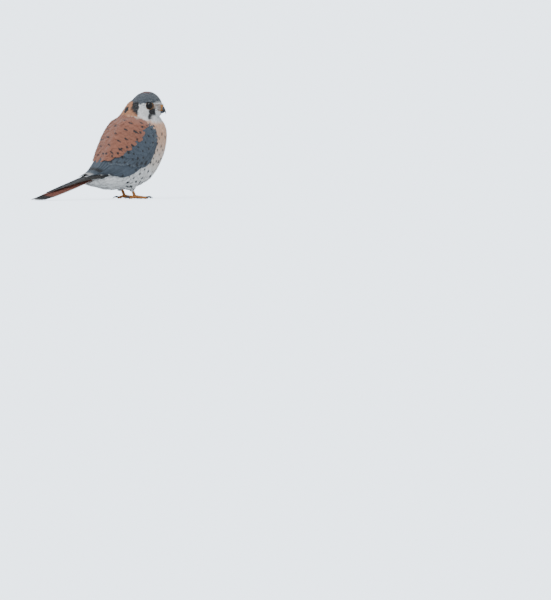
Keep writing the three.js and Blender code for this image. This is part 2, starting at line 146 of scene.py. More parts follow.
def on_head(forward, left, up):
    return HEAD_AT + HEAD_X * forward + HEAD_Y * left + UP * up


# The bird's own axes sit a little off the frame's origin: the left eye says how far.
_low, _high = (np.array(corner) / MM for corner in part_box("eye_left"))
OFFSET = (_low + _high) / 2 - eye_centre(1)


def placed(points):
    """Points in the bird's millimetres as metres in the frame."""
    return (np.asarray(points, float) + OFFSET) * MM


def spline(rows, share):
    """Catmull-Rom through rows of numbers, share from 0 to 1, for an array of shares."""
    rows = np.asarray(rows, float)
    at = np.clip(np.asarray(share, float), 0, 1) * (len(rows) - 1)
    i = np.minimum(at.astype(int), len(rows) - 2)
    t = (at - i)[..., None]
    p0 = rows[np.where(i == 0, i, i - 1)]
    p1, p2 = rows[i], rows[i + 1]
    p3 = rows[np.where(i > len(rows) - 3, len(rows) - 1, i + 2)]
    v0, v1 = (p2 - p0) / 2, (p3 - p1) / 2
    return (2 * p1 - 2 * p2 + v0 + v1) * t**3 + (-3 * p1 + 3 * p2 - 2 * v0 - v1) * t**2 + v0 * t + p1


def signed_power(value, n):
    return np.sign(value) * np.abs(value) ** (2 / n)


def on_body(station, degrees):
    """Points of the body surface: station from 0 at the tail tip to 13 in the head, 0 degrees at the back and
    180 at the belly, positive on the left."""
    angle = np.radians(degrees)
    row = spline(SECTIONS, np.asarray(station) / LAST_STATION)
    depth = signed_power(np.cos(angle), ROUNDNESS)
    x = (row[..., 0] + row[..., 2]) / 2 + (row[..., 0] - row[..., 2]) / 2 * depth
    z = (row[..., 1] + row[..., 3]) / 2 + (row[..., 1] - row[..., 3]) / 2 * depth
    return np.stack([x, row[..., 4] * signed_power(np.sin(angle), ROUNDNESS), z], -1)


def unit(vectors):
    return vectors / np.maximum(np.linalg.norm(vectors, axis=-1, keepdims=True), 1e-9)


def body_normal(station, degrees):
    step, turn = 0.02, 1.2
    along = on_body(station + step, degrees) - on_body(station - step, degrees)
    round_ = on_body(station, degrees + turn) - on_body(station, degrees - turn)
    return unit(np.cross(along, round_))


def smooth(low, high, value):
    t = np.clip((value - low) / (high - low), 0, 1)
    return t * t * (3 - 2 * t)


def mix(a, b, share):
    return a + (b - a) * np.asarray(share)[..., None]


# Colour

def srgb(code):
    """A web colour as linear red, green and blue."""
    parts = [int(code[i : i + 2], 16) / 255 for i in (0, 2, 4)]
    return tuple(c / 12.92 if c <= 0.04045 else ((c + 0.055) / 1.055) ** 2.4 for c in parts)


def colour_prop(name, description, code):
    return bpy.props.FloatVectorProperty(
        name=name, description=description, subtype="COLOR", size=3, min=0, max=1, default=srgb(code)
    )


def length_prop(name, description, millimetres):
    return bpy.props.FloatProperty(
        name=name, description=description, unit="LENGTH", min=0, default=millimetres * MM, precision=5
    )


class KestrelColours(bpy.types.PropertyGroup):
    """The colours of the plumage and of the bare parts"""

    rufous: colour_prop("Rufous", "Back and shoulder feathers", "8b5844")
    slate: colour_prop("Slate", "Crown and wing coverts", "414c57")
    ink: colour_prop("Ink", "Bars, spots and wing tips", "141619")
    buff: colour_prop("Buff", "Breast", "cf9c7a")
    collar: colour_prop("Collar", "Sides of the nape", "b27a56")
    cream: colour_prop("Cream", "Lower breast", "d6ccc0")
    white: colour_prop("White", "Cheeks, throat and vent", "e9e8e6")
    chestnut: colour_prop("Chestnut", "Tail and crown patch", "7a4033")
    bare: colour_prop("Bare skin", "Cere", "a8702f")
    lid: colour_prop("Lid", "The rings round the eyes", "7a5630")
    leg: colour_prop("Leg", "Shanks and toes", "b5722f")
    horn: colour_prop("Horn", "Bill", "3a4452")
    claw: colour_prop("Claw", "Claws", "15151a")
    iris: colour_prop("Iris", "Eye round the pupil", "0c0705")


class KestrelSizes(bpy.types.PropertyGroup):
    """The sizes of the coat"""

    coat: length_prop("Coat depth", "How far the skin lies under the outline of the body", 1.7)
    face_coat: length_prop("Face coat depth", "How far the skin lies under the outline of the head", 0.9)
    wing_bulge: length_prop("Wing bulge", "How far the folded wing stands out from the body", 2.4)


def colours():
    chosen = bpy.context.scene.kestrel_colours
    return {key: np.array(getattr(chosen, key)) for key in KestrelColours.__annotations__}


def sizes():
    chosen = bpy.context.scene.kestrel_sizes
    return {key: getattr(chosen, key) / MM for key in KestrelSizes.__annotations__}


# Places on the bird

# Where the rufous shoulder feathers end and the slate coverts start, and the folded wing's lower edge:
# degrees round the body at each station
SHOULDER_EDGE = (
    (4.2, 2), (5, 12), (5.5, 38), (6.5, 56), (7.3, 64),
    (8.1, 69), (9, 74), (9.5, 77), (10, 62), (10.8, 60),
)
WING_EDGE = (
    (2.2, 60), (3.4, 76), (4.3, 82), (5.1, 90), (5.6, 93), (6.3, 96),
    (6.8, 101), (7.8, 104), (8.6, 103), (9.1, 97), (9.5, 84),
)

# Where the small coverts end on the wing: the station at each number of degrees
COVERT_END = ((30, 5.5), (50, 5.9), (70, 6.3), (90, 6.6), (104, 6.8))


def edge_at(edge, station):
    stations, degrees = np.array(edge, float).T
    return np.interp(station, stations, degrees)


class BodyMap:
    """The nearest station and degrees of the body surface for points, in millimetres."""

    station_step, degree_step = 0.1, 4.0

    def __init__(self):
        along = np.arange(0.4, LAST_STATION + 0.01, self.station_step)
        stations, degrees = np.meshgrid(along, np.arange(-180, 180, self.degree_step), indexing="ij")
        self.stations, self.degrees = stations.ravel(), degrees.ravel()
        self.tree = KDTree(len(self.stations))
        for i, point in enumerate(on_body(self.stations, self.degrees)):
            self.tree.insert(point, i)
        self.tree.balance()

    def find(self, points):
        found = np.array([self.tree.find(p)[1] for p in points])
        return self.stations[found], self.degrees[found]


def in_head(points):
    """Points as forward, left and up from between the eyes."""
    off = points - HEAD_AT
    return np.stack([off @ HEAD_X, off @ HEAD_Y, off @ UP], -1)


def wobble(points, size, seed=0):
    """Smooth noise from -1 to 1 over points, with bumps of about the given size."""
    rng = np.random.default_rng(seed)
    total = np.zeros(len(points))
    for _ in range(6):
        wave = unit(rng.normal(size=3)) / size * rng.uniform(3, 6)
        total += np.sin(points @ wave + rng.uniform(0, 6.3))
    return total / 3.2


def stripe(f, u, line):
    """How far inside a stripe of the face points are, from 0 to 1."""
    ups, centres, halves = np.array(sorted(line), float).T
    centre, half = np.interp(u, ups, centres), np.interp(u, ups, halves)
    inside = smooth(-0.7, 0.7, half - np.abs(f - centre))
    return inside * smooth(ups[0] - 0.8, ups[0] + 0.8, u) * smooth(ups[-1] + 0.8, ups[-1] - 0.8, u)


# The stripes of the face, as (up, forward, half of the width), and the crown's lower edge, as (forward, up)
CHEEK = ((4, -2.2, 4.4), (-2, -0.6, 5.4), (-8, 0.9, 5.4), (-16, 3.2, 3.6))
MALAR = ((0.5, 10.6, 2.2), (-4, 10.2, 3.7), (-9, 9.8, 4), (-13, 9.6, 3.4), (-16, 9, 1.8))
EAR = ((6, -9.8, 3.6), (0, -9.6, 4.4), (-5, -9.3, 4.6), (-10, -8.3, 3.9), (-14, -6.6, 1.8))
CREAM_LINE = ((-9, -12.6, 1.2), (-13, -10, 1.8), (-15.5, -4, 3))
CROWN_EDGE = (
    (-24, 11), (-18, 8.5), (-13, 5.5), (-5, 3.4), (1, 4.4),
    (6, 5.4), (10, 4.6), (14, 4.6), (18, 4.4),
)

# The two black spots of the nape, and their half axes
OCELLI = np.array([(-2, -2.5, 121), (34, 15.5, 119)])
OCELLUS = (3.6, 3.6, 5.4)


def head_colour(points, ink):
    """The markings of the head and the top of the neck. Each edge of a marking is a pair of numbers between
    which it fades, forward, to the side or up from between the eyes."""
    local = in_head(points)
    jitter = 0.5 * wobble(points, 5, 3)
    f, side, u = local[:, 0] + jitter, np.abs(local[:, 1]), local[:, 2] + jitter
    colour = np.tile(ink["collar"], (len(points), 1))
    colour = mix(colour, ink["white"], smooth(-14, -9, f) * smooth(-19, -15, u))
    crown = smooth(-1, 1, u - np.interp(f, *np.array(CROWN_EDGE, float).T))
    colour = mix(colour, ink["slate"] * (1.3, 1.14, 1.04), crown)
    patch = smooth(-11, -7, f) * smooth(8.5, 4, f) * smooth(16.8, 19, u) * smooth(9, 6, side)
    colour = mix(colour, ink["chestnut"] * 0.9, patch * 0.85)
    front = smooth(12, 16, f) * smooth(-1.5, 2, u) * smooth(9, 5, u)
    colour = mix(colour, ink["white"] * 0.75, front * 0.6)
    colour = mix(colour, ink["cream"], stripe(f, u, CREAM_LINE) * 0.9)
    for line, tone in ((CHEEK, ink["white"]), (EAR, ink["ink"]), (MALAR, ink["ink"])):
        colour = mix(colour, tone, stripe(f, u, line) * smooth(3, 6, side))
    lore = smooth(9.5, 11, f) * smooth(16.5, 14, f) * smooth(-3, -1, u) * smooth(4.5, 2.5, u)
    colour = mix(colour, mix(ink["white"] * 0.5, ink["bare"], 0.45), lore * 0.8)
    throat = smooth(-8.5, -11, u) * smooth(8, 12, f)
    colour = mix(colour, ink["white"], throat)
    naked = smooth(15.8, 16.5, f) * smooth(3.4, 2.7, u) * smooth(-5.6, -4.8, u)
    return mix(colour, ink["bare"], naked)


def body_colour(points, station, degrees, ink):
    """The markings of the body, without its spots. Their edges fade between pairs of stations or degrees."""
    a = np.abs(degrees) + 3 * wobble(points, 9, 5)
    s = station + 0.12 * wobble(points, 8, 6)
    above_collar = s - (10.35 - 0.5 * smooth(0, 80, a))
    back = mix(np.tile(ink["rufous"], (len(s), 1)), ink["collar"], smooth(-0.1, 0.15, above_collar))
    line = smooth(-0.12, 0.05, above_collar) * smooth(0.4, 0.2, above_collar) * smooth(20, 50, a)
    back = mix(back, ink["cream"], line * 0.55)
    front = mix(ink["cream"], ink["buff"], smooth(6.4, 8.9, s) * 0.9)
    front = mix(front, ink["white"], smooth(7, 5, s))
    front = mix(front, ink["cream"], smooth(10.2, 11.4, s) * 0.7)
    return mix(back, front, smooth(-5, 5, a - np.where(s > 3.2, edge_at(WING_EDGE, s) - 4, 100)))


HEAD_REACH = (1, 0.84, 0.95)  # the head's markings reach a little farther out and down than forward


def plumage(points, station, degrees, ink):
    """The colour of skin and coat at points, before spots and bars."""
    away = np.linalg.norm(in_head(points) * HEAD_REACH, axis=1)
    near = smooth(27, 22.5, away)
    colour = mix(body_colour(points, station, degrees, ink), head_colour(points, ink), near)
    for centre in OCELLI:
        apart = np.linalg.norm((points - centre) / OCELLUS, axis=1) + 0.12 * wobble(points, 3, 8)
        colour = mix(colour, ink["ink"], smooth(1.12, 0.88, apart))
    return colour


# Meshes

def word_of(side):
    return "left" if side > 0 else "right"


def as_metres(bm):
    for vertex in bm.verts:
        vertex.co = placed(np.array(vertex.co))


def as_mesh(bm, name):
    mesh = bpy.data.meshes.new(name)
    bm.to_mesh(mesh)
    bm.free()
    return mesh


def linked(name, data):
    """A new object in the scene."""
    piece = bpy.data.objects.new(name, data)
    bpy.context.scene.collection.objects.link(piece)
    return piece


def finished(bm, name, material, slot, replaced=()):
    """The bmesh, in the bird's millimetres, as a smooth object that rides on the body."""
    as_metres(bm)
    bmesh.ops.recalc_face_normals(bm, faces=bm.faces)
    for face in bm.faces:
        face.smooth = True
    return registered(as_mesh(bm, name), name, material, slot, replaced)


def registered(mesh, name, material, slot, replaced=()):
    mesh.materials.append(material)
    piece = linked(name, mesh)
    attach(piece, "root")
    if replaced:
        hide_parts(*replaced)
    return piece


def moved_ball(bm, around, sections, at):
    """Adds a closed ball whose rows are moved to at(row share from 0 to 1, radians round)."""
    ball = bmesh.ops.create_uvsphere(bm, u_segments=around, v_segments=sections, radius=1)["verts"]
    for vertex in ball:
        share = math.acos(max(-1, min(1, vertex.co.z))) / math.pi
        pole = share < 1e-3 or share > 1 - 1e-3
        vertex.co = at(share, None if pole else math.atan2(vertex.co.y, vertex.co.x))


HEAD_ROUNDNESS, BILL_ROUNDNESS = 2.1, 2.3
# Where the head's form closes: how far past its last section at the back and at the face, and how high
HEAD_BACK, HEAD_FACE = (1.2, -0.8), (0.6, -2)


def head_point(share, angle, inset):
    """A point of the head's form from its back, share 0, to the face, share 1."""
    low, high = HEAD_SECTIONS[0, 0], HEAD_SECTIONS[-1, 0]
    if angle is None and share < 0.5:
        return on_head(low - HEAD_BACK[0] + inset, 0, HEAD_BACK[1])
    if angle is None:
        return on_head(high + HEAD_FACE[0] - inset, 0, HEAD_FACE[1])
    forward = low + (high - low) * (1 - math.cos(math.pi * share)) / 2
    top, bottom, half = (np.interp(forward, HEAD_SECTIONS[:, 0], HEAD_SECTIONS[:, i]) for i in (1, 2, 3))
    c, s = (signed_power(value, HEAD_ROUNDNESS) for value in (math.cos(angle), math.sin(angle)))
    return on_head(forward, (half - inset) * s, (top + bottom) / 2 + ((top - bottom) / 2 - inset) * c)


def wing_cover(station, degrees):
    """How much the folded wing's thickness shows at a place of the body, from 0 to 1."""
    a = np.abs(degrees)
    across = smooth(0, 9, edge_at(WING_EDGE, station) - a) * smooth(8, 26, a)
    return across * smooth(2.6, 5, station) * smooth(9.6, 8.6, station)


# The body's skin: its first and last station, and how far it sinks under the tail's root, and from where
SKIN_FIRST, SKIN_LAST = 2.5, 12.9
SINK, SINK_FROM = 3.5, 3.7


def body_point(share, angle, inset, bulge):
    """A point of the body's form from the head, share 0, to the tail's root."""
    station = SKIN_LAST + (SKIN_FIRST - SKIN_LAST) * share
    if angle is None:
        return (on_body(station, 0) + on_body(station, 180)) / 2
    degrees = math.degrees(angle)
    raised = bulge * wing_cover(station, degrees) - inset - SINK * smooth(SINK_FROM, SKIN_FIRST, station)
    return on_body(station, degrees) + body_normal(station, degrees) * raised


def limb(bm, points, radii, around, sections, sweep=(0, 1, 0), blunt=6, relief=lambda share, angle: 0):
    """Adds a closed limb through points, with a radius at each. Its radians start across the sweep, and
    relief(share, radians) stands out from it."""
    points, radii = np.array(points, float), np.array(radii, float)

    def at(share, angle):
        here = spline(points, share)
        if angle is None:
            return here
        ahead = unit(spline(points, min(1, share + 0.01)) - spline(points, max(0, share - 0.01)))
        sideways = unit(np.cross(sweep, ahead)) if abs(ahead @ sweep) < 0.9 else np.array([0.0, 1.0, 0.0])
        other = np.cross(ahead, sideways)
        radius = float(spline(radii[:, None], share)[0]) + relief(share, angle)
        radius *= min(1, blunt * math.sqrt(share * (1 - share)) + 0.02)
        return here + radius * (math.cos(angle) * sideways + math.sin(angle) * other)

    moved_ball(bm, around, sections, at)


def leg_point(side, x, z, out=0.0):
    """A point of a leg, ahead of it by x and out from it."""
    return np.array([LEG["x"] + x, side * (LEG["spread"] + out), z])


def toe_point(side, toe, reach, height):
    """A point of a toe, reach from the middle of the foot."""
    turn = math.radians(toe["turn"])
    return leg_point(side, 1.5 + math.cos(turn) * reach, height, math.sin(turn) * reach)


def colour_layer(mesh, name, values):
    layer = mesh.color_attributes.new(name, "FLOAT_COLOR", "POINT")
    rgba = np.ones((len(mesh.vertices), 4), np.float32)
    rgba[:, :3] = values
    layer.data.foreach_set("color", rgba.ravel())


def mesh_points(mesh):
    flat = np.empty(len(mesh.vertices) * 3)
    mesh.vertices.foreach_get("co", flat)
    return flat.reshape(-1, 3) / MM - OFFSET


# Feathers

def vane_template(rows, columns):
    """The faces of one closed feather: (rows, columns) points on top, then the underside's inner points."""
    inner = columns - 2
    top = lambda r, c: r * columns + c
    under = lambda r, c: top(r, c) if c in (0, columns - 1) else rows * columns + r * inner + c - 1
    faces = []
    for r in range(rows - 1):
        for c in range(columns - 1):
            faces.append((top(r, c), top(r, c + 1), top(r + 1, c + 1), top(r + 1, c)))
            faces.append((under(r, c), under(r + 1, c), under(r + 1, c + 1), under(r, c + 1)))
    for r in (0, rows - 1):
        rim = [top(r, c) for c in range(columns)] + [under(r, c) for c in range(columns - 2, 0, -1)]
        faces.append(tuple(rim[::-1] if r == 0 else rim))
    return faces


# Half widths along a feather, from its root to its tip
SOFT_EDGE = (0.5, 0.8, 0.95, 1.0, 0.94, 0.75, 0.25)
ROUND_EDGE = (0.4, 0.7, 0.88, 0.98, 1.0, 0.88, 0.45)
LONG_EDGE = (0.5, 0.72, 0.88, 0.98, 1.0, 0.94, 0.45)
PLUME_EDGE = (0.6, 0.9, 1.0, 0.92, 0.72, 0.45, 0.12)


def feather_points(middle, normal, half, edge, columns, rng, camber, thick, lean=0.0, ragged=0.0):
    """Top and underside points of many feathers, and the place of each along and across the vane. middle and
    normal are (feathers, rows, 3)."""
    count, rows = middle.shape[:2]
    ahead = unit(np.gradient(middle, axis=1))
    over = unit(np.cross(normal, ahead))
    across = np.linspace(-1, 1, columns)
    profile = np.interp(np.linspace(0, 1, rows), np.linspace(0, 1, len(edge)), edge)
    width = half[:, None, None] * profile[None, :, None] * np.ones(columns)
    width = width * (1 + ragged * rng.uniform(-1, 1, (count, rows, columns)))
    height = camber * half[:, None, None] * (1 - across**2) + lean * width * across
    sweep = -0.35 * half[:, None, None] * across**2 * np.linspace(0, 1, rows)[None, :, None]
    top = middle[:, :, None] + over[:, :, None] * (width * across)[..., None]
    top = top + normal[:, :, None] * height[..., None] + ahead[:, :, None] * sweep[..., None]
    under = top[:, :, 1:-1] - normal[:, :, None] * thick
    points = np.concatenate([top.reshape(count, -1, 3), under.reshape(count, -1, 3)], 1)
    s = np.broadcast_to(np.linspace(0, 1, rows)[:, None], (rows, columns))
    q = np.broadcast_to(across, (rows, columns))
    s = np.concatenate([s.ravel(), s[:, 1:-1].ravel()])
    q = np.concatenate([q.ravel(), q[:, 1:-1].ravel()])
    return points, s, q


BAKE_PATCH = 0.003  # the size of one feather on the bake map
PIECE_LIMIT = 190_000  # triangles in one piece of the coat


def joined_feathers(name, points, faces, tint, s, q, material, slot, home=None, replaced=()):
    """One mesh of many feathers. tint is a colour for each point, home each root's place on the bake map."""
    count, each = points.shape[:2]
    mesh = bpy.data.meshes.new(name)
    lengths = np.array([len(face) for face in faces])
    corners = np.concatenate([np.array(face) for face in faces])
    loops = (corners[None] + each * np.arange(count)[:, None]).ravel()
    starts = np.concatenate([[0], np.cumsum(np.tile(lengths, count))[:-1]])
    mesh.vertices.add(count * each)
    mesh.vertices.foreach_set("co", placed(points.reshape(-1, 3)).ravel())
    mesh.loops.add(len(loops))
    mesh.loops.foreach_set("vertex_index", loops.astype(np.int32))
    mesh.polygons.add(len(starts))
    mesh.polygons.foreach_set("loop_start", starts.astype(np.int32))
    mesh.update(calc_edges=True)
    mesh.validate()
    mesh.polygons.foreach_set("use_smooth", np.ones(len(mesh.polygons), bool))
    colour_layer(mesh, "Plumage", tint.reshape(-1, 3))
    vane = mesh.uv_layers.new(name="Vane")
    across_along = np.stack([q[corners] / 2 + 0.5, s[corners]], -1)
    vane.data.foreach_set("uv", np.tile(across_along, (count, 1)).ravel())
    if home is not None:
        patch = (across_along - 0.5) * BAKE_PATCH
        bake = mesh.uv_layers.new(name="OFBake")
        bake.data.foreach_set("uv", (home[:, None] + patch[None]).ravel())
    return registered(mesh, name, material, slot, replaced)


def bake_home(points, station, degrees):
    """Each root's place on an unwrap of the skin: the body on the left three fifths, the head on the rest."""
    local = in_head(points)
    angle = np.arctan2(local[:, 1], local[:, 2]) / (2 * np.pi) + 0.5
    on_the_head = np.linalg.norm(local, axis=1) < 26
    body = np.stack([0.01 + 0.6 * station / LAST_STATION, 0.01 + 0.97 * (degrees + 180) / 360], -1)
    head = np.stack([0.64 + 0.34 * np.clip((local[:, 0] + 24) / 46, 0, 1), 0.01 + 0.97 * angle], -1)
    return np.where(on_the_head[:, None], head, body)


class Skin:
    """The finished skin, asked for its nearest points and normals in millimetres."""

    def __init__(self):
        mesh = bpy.data.objects["skin"].data
        self.points = mesh_points(mesh)
        polygons = [tuple(p.vertices) for p in mesh.polygons]
        self.tree = BVHTree.FromPolygons([Vector(p) for p in self.points], polygons)
        mesh.calc_loop_triangles()
        self.triangles = np.array([t.vertices for t in mesh.loop_triangles])

    def nearest(self, points):
        found = [self.tree.find_nearest(Vector(p))[:2] for p in points]
        return np.array([f[0] for f in found]), np.array([f[1] for f in found])

    def candidates(self, count, rng):
        """Random points spread evenly over the skin."""
        a, b, c = (self.points[self.triangles[:, i]] for i in range(3))
        area = np.linalg.norm(np.cross(b - a, c - a), axis=1)
        pick = rng.choice(len(area), count, p=area / area.sum())
        u, v = rng.uniform(size=(2, count))
        flip = u + v > 1
        u, v = np.where(flip, 1 - u, u), np.where(flip, 1 - v, v)
        return a[pick] + (b - a)[pick] * u[:, None] + (c - a)[pick] * v[:, None]


def spread_out(points, gap):
    """The points that keep at least gap (one number for each point) from those before them."""
    cell = gap.max()
    taken = {}
    kept = []
    for i, (point, room) in enumerate(zip(points, gap)):
        key = tuple((point // cell).astype(int))
        close = (
            other
            for dx in (-1, 0, 1)
            for dy in (-1, 0, 1)
            for dz in (-1, 0, 1)
            for other in taken.get((key[0] + dx, key[1] + dy, key[2] + dz), ())
        )
        x, y, z = point
        if all((x - o[0]) ** 2 + (y - o[1]) ** 2 + (z - o[2]) ** 2 > room**2 for o in close):
            taken.setdefault(key, []).append(tuple(point))
            kept.append(i)
    return np.array(kept)


def lie(points, normals, station, degrees):
    """The way the feathers lie: to the tail on the body, back from the bill on the head. On the wing they
    lean to the back, and under its edge away from it."""
    a = np.abs(degrees)
    under_wing = a - edge_at(WING_EDGE, station)
    pull = smooth(4, 20, a) * smooth(1, -8, under_wing) * (0.8 + 1.3 * smooth(7.5, 5, station))
    pull = pull - 1.8 * smooth(-1, 2, under_wing) * smooth(16, 5, under_wing) * smooth(6, 5, station)
    inward = degrees - np.sign(degrees) * pull
    tailwards = unit(on_body(station - 0.15, inward) - on_body(station + 0.15, degrees))
    local = in_head(points)
    dropping = np.where(local[:, 2] < 3, 0.35 + 0.5 * smooth(2, -12, local[:, 2]), 0)
    backwards = -HEAD_X - UP * dropping[:, None]
    backwards = backwards + HEAD_Y * (0.3 * np.sign(local[:, 1]) * smooth(8, 18, local[:, 0]))[:, None]
    on_top = smooth(30, 21, np.linalg.norm(local, axis=1))
    way = mix(tailwards, unit(backwards), on_top)
    return unit(way - normals * (way * normals).sum(1)[:, None])


ROOT_DEPTH = 0.25  # how deep a feather's root stands in the skin


def laid_on(skin, roots, way, length, rise, rows):
    """Middle lines of feathers that follow the skin: (feathers, rows, 3), with their normals."""
    _, n0 = skin.nearest(roots)
    halfway, n1 = skin.nearest(roots + way * length[:, None] * 0.5)
    tip, n2 = skin.nearest(roots + way * length[:, None])
    p0 = roots - n0 * ROOT_DEPTH
    p1 = halfway + n1 * (0.62 * rise)[:, None]
    p2 = tip + n2 * rise[:, None]
    t = np.linspace(0, 1, rows)[None, :, None]
    weights = (1 - t) * (1 - 2 * t), 4 * t * (1 - t), t * (2 * t - 1)

    def through(*places):
        return sum(place[:, None] * weight for place, weight in zip(places, weights))

    return through(p0, p1, p2), unit(through(n0, n1, n2))


# Each kind of small feather: length, half of the width, spacing, rise of the tip, edge, raggedness, and its
# rows and columns of points
KINDS = {
    "face": (3.2, 1.0, 0.8, 0.45, SOFT_EDGE, 0.1, 7, 3),
    "crown": (4.8, 1.5, 1.1, 0.5, SOFT_EDGE, 0.08, 7, 3),
    "nape": (7.5, 2.3, 1.5, 0.9, SOFT_EDGE, 0.08, 8, 5),
    "shoulder": (12.5, 4.6, 2.7, 1.75, ROUND_EDGE, 0.02, 13, 9),
    "covert": (8.5, 3.6, 2.2, 1.1, ROUND_EDGE, 0.02, 10, 9),
    "breast": (9.0, 2.9, 1.7, 1.2, SOFT_EDGE, 0.08, 8, 5),
    "belly": (12.0, 2.5, 1.8, 2.2, PLUME_EDGE, 0.2, 8, 5),
    "vent": (15.0, 2.0, 1.7, 2.6, PLUME_EDGE, 0.28, 8, 5),
    "rump": (10.0, 3.4, 2.5, 0.8, ROUND_EDGE, 0.03, 7, 5),
}

# The stations where the kinds change, and how far the head's small feathers reach from between the eyes
TAIL_START, RUMP_START, MANTLE_END, BELLY_END, WING_TOP, NAPE_START = 2.7, 4.3, 5.0, 6.2, 9.6, 9.75
HEAD_COAT = 24


def kind_at(points, station, degrees):
    """The kind of small feather that grows at each place, and none where only long feathers do."""
    local = in_head(points)
    a = np.abs(degrees)
    away = np.linalg.norm(local, axis=1)
    kind = np.full(len(points), "breast", dtype="<U8")
    kind[(station < BELLY_END) & (a > 88)] = "belly"
    kind[(station < RUMP_START) & (a > 62)] = "vent"
    wing = a < edge_at(WING_EDGE, station) + 1
    kind[wing & (station < WING_TOP)] = "covert"
    kind[(a < edge_at(SHOULDER_EDGE, station)) & (station >= MANTLE_END)] = "shoulder"
    kind[station > NAPE_START] = "nape"
    kind[(a > 100) & (station > WING_TOP)] = "breast"
    kind[away < HEAD_COAT] = "crown"
    kind[(away < HEAD_COAT) & (local[:, 0] > 2) & (local[:, 2] < 9)] = "face"
    kind[(kind == "covert") & (station < edge_at(COVERT_END, a))] = "none"
    kind[(station < RUMP_START) & (a < 62)] = "rump"
    for side in SIDES:
        kind[np.linalg.norm(points - eye_centre(side), axis=1) < EYE["radius"] + 0.4] = "none"
    bill = (local[:, 0] > 16.0) & (np.abs(local[:, 1]) < 6.5) & (local[:, 2] < 2.9) & (local[:, 2] > -5.2)
    kind[bill | (station < TAIL_START)] = "none"
    return kind


def stamp(tint, points, centres, ways, normals, along, across, tone):
    """Colours the points that lie in any of the spots. Each spot is an oval, along the lie by across it."""
    edge = 1 + 0.22 * wobble(points, 1.6)
    sides = np.cross(normals, ways)
    for centre, way, side, length, width in zip(centres, ways, sides, along, across):
        reach = max(length, width) * 1.4
        near = np.where((np.abs(points - centre) < reach).all(1))[0]
        off = points[near] - centre
        apart = np.sqrt((off @ way / length) ** 2 + (off @ side / width) ** 2) * edge[near]
        tint[near] = mix(tint[near], tone, smooth(1.12, 0.88, apart))


# The black marks: the spacing of each kind, half of its length along the lie and of its width, and its first
# and last station
MARKS = {
    "flank": (6.0, 1.9, 1.5, 4.4, 8.7),
    "covert": (7.2, 1.5, 1.8, 5.2, 9.0),
    "shoulder": (9.6, 1.15, 3.6, 4.8, 9.0),
}
UNMARKED_HEAD = 26  # the distance from the head's middle within which the marks leave off


class Marks:
    """The spots of the coverts, the bars of the shoulders and the spots of the flanks, on the skin."""

    tries = 9000

    def __init__(self, skin, body_map):
        rng = np.random.default_rng(21)
        points = skin.candidates(self.tries, rng)
        station, degrees = body_map.find(points)
        a = np.abs(degrees)
        below_wing = a - edge_at(WING_EDGE, station)
        shoulder = a < edge_at(SHOULDER_EDGE, station) - 4
        places = {
            "flank": (below_wing > 4) & (a < 152),
            "covert": (below_wing < -5) & ~shoulder,
            "shoulder": shoulder,
        }
        body = np.linalg.norm(points - HEAD_AT, axis=1) >= UNMARKED_HEAD
        self.sets = {}
        for name, (spacing, _, _, first, last) in MARKS.items():
            own = np.where(places[name] & (station > first) & (station < last) & body)[0]
            thinned = 0.5 * smooth(7, 8.6, station[own]) if name == "flank" else 0
            own = own[spread_out(points[own], spacing * (1 + thinned) * np.ones(len(own)))]
            _, normals = skin.nearest(points[own])
            ways = lie(points[own], normals, station[own], degrees[own])
            size = rng.uniform(0.75, 1.2, len(own))
            self.sets[name] = (points[own] + normals * 1.2, ways, normals, size)

    def paint(self, tint, points, ink):
        for name, (_, along, across, _, _) in MARKS.items():
            centres, ways, normals, size = self.sets[name]
            stamp(tint, points, centres, ways, normals, along * size, across * size, ink["ink"] * 1.2)
        return tint


WHITENED = {"vent": 1, "belly": 0.7}  # how far these kinds are turned to white


def coat_colour(kind, points, roots, station, degrees, ink):
    """The colours of the points of one kind of small feather, each halfway to the colour at its root."""
    if kind == "covert":
        return np.tile(ink["slate"], (len(points), 1))
    if kind == "rump":
        return np.tile(ink["rufous"], (len(points), 1))
    if kind == "shoulder":
        return body_colour(points, station, np.zeros(len(points)), ink)
    colour = plumage(roots * 0.5 + points * 0.5, station, degrees, ink)
    return mix(colour, ink["white"], WHITENED.get(kind, 0))


COAT_TRIES = 90_000  # random places on the skin, of which those far enough apart grow a feather
COAT_SLOTS = {
    "covert": "wing_plumage",
    "face": "head_plumage",
    "crown": "head_plumage",
    "nape": "neck_plumage",
}


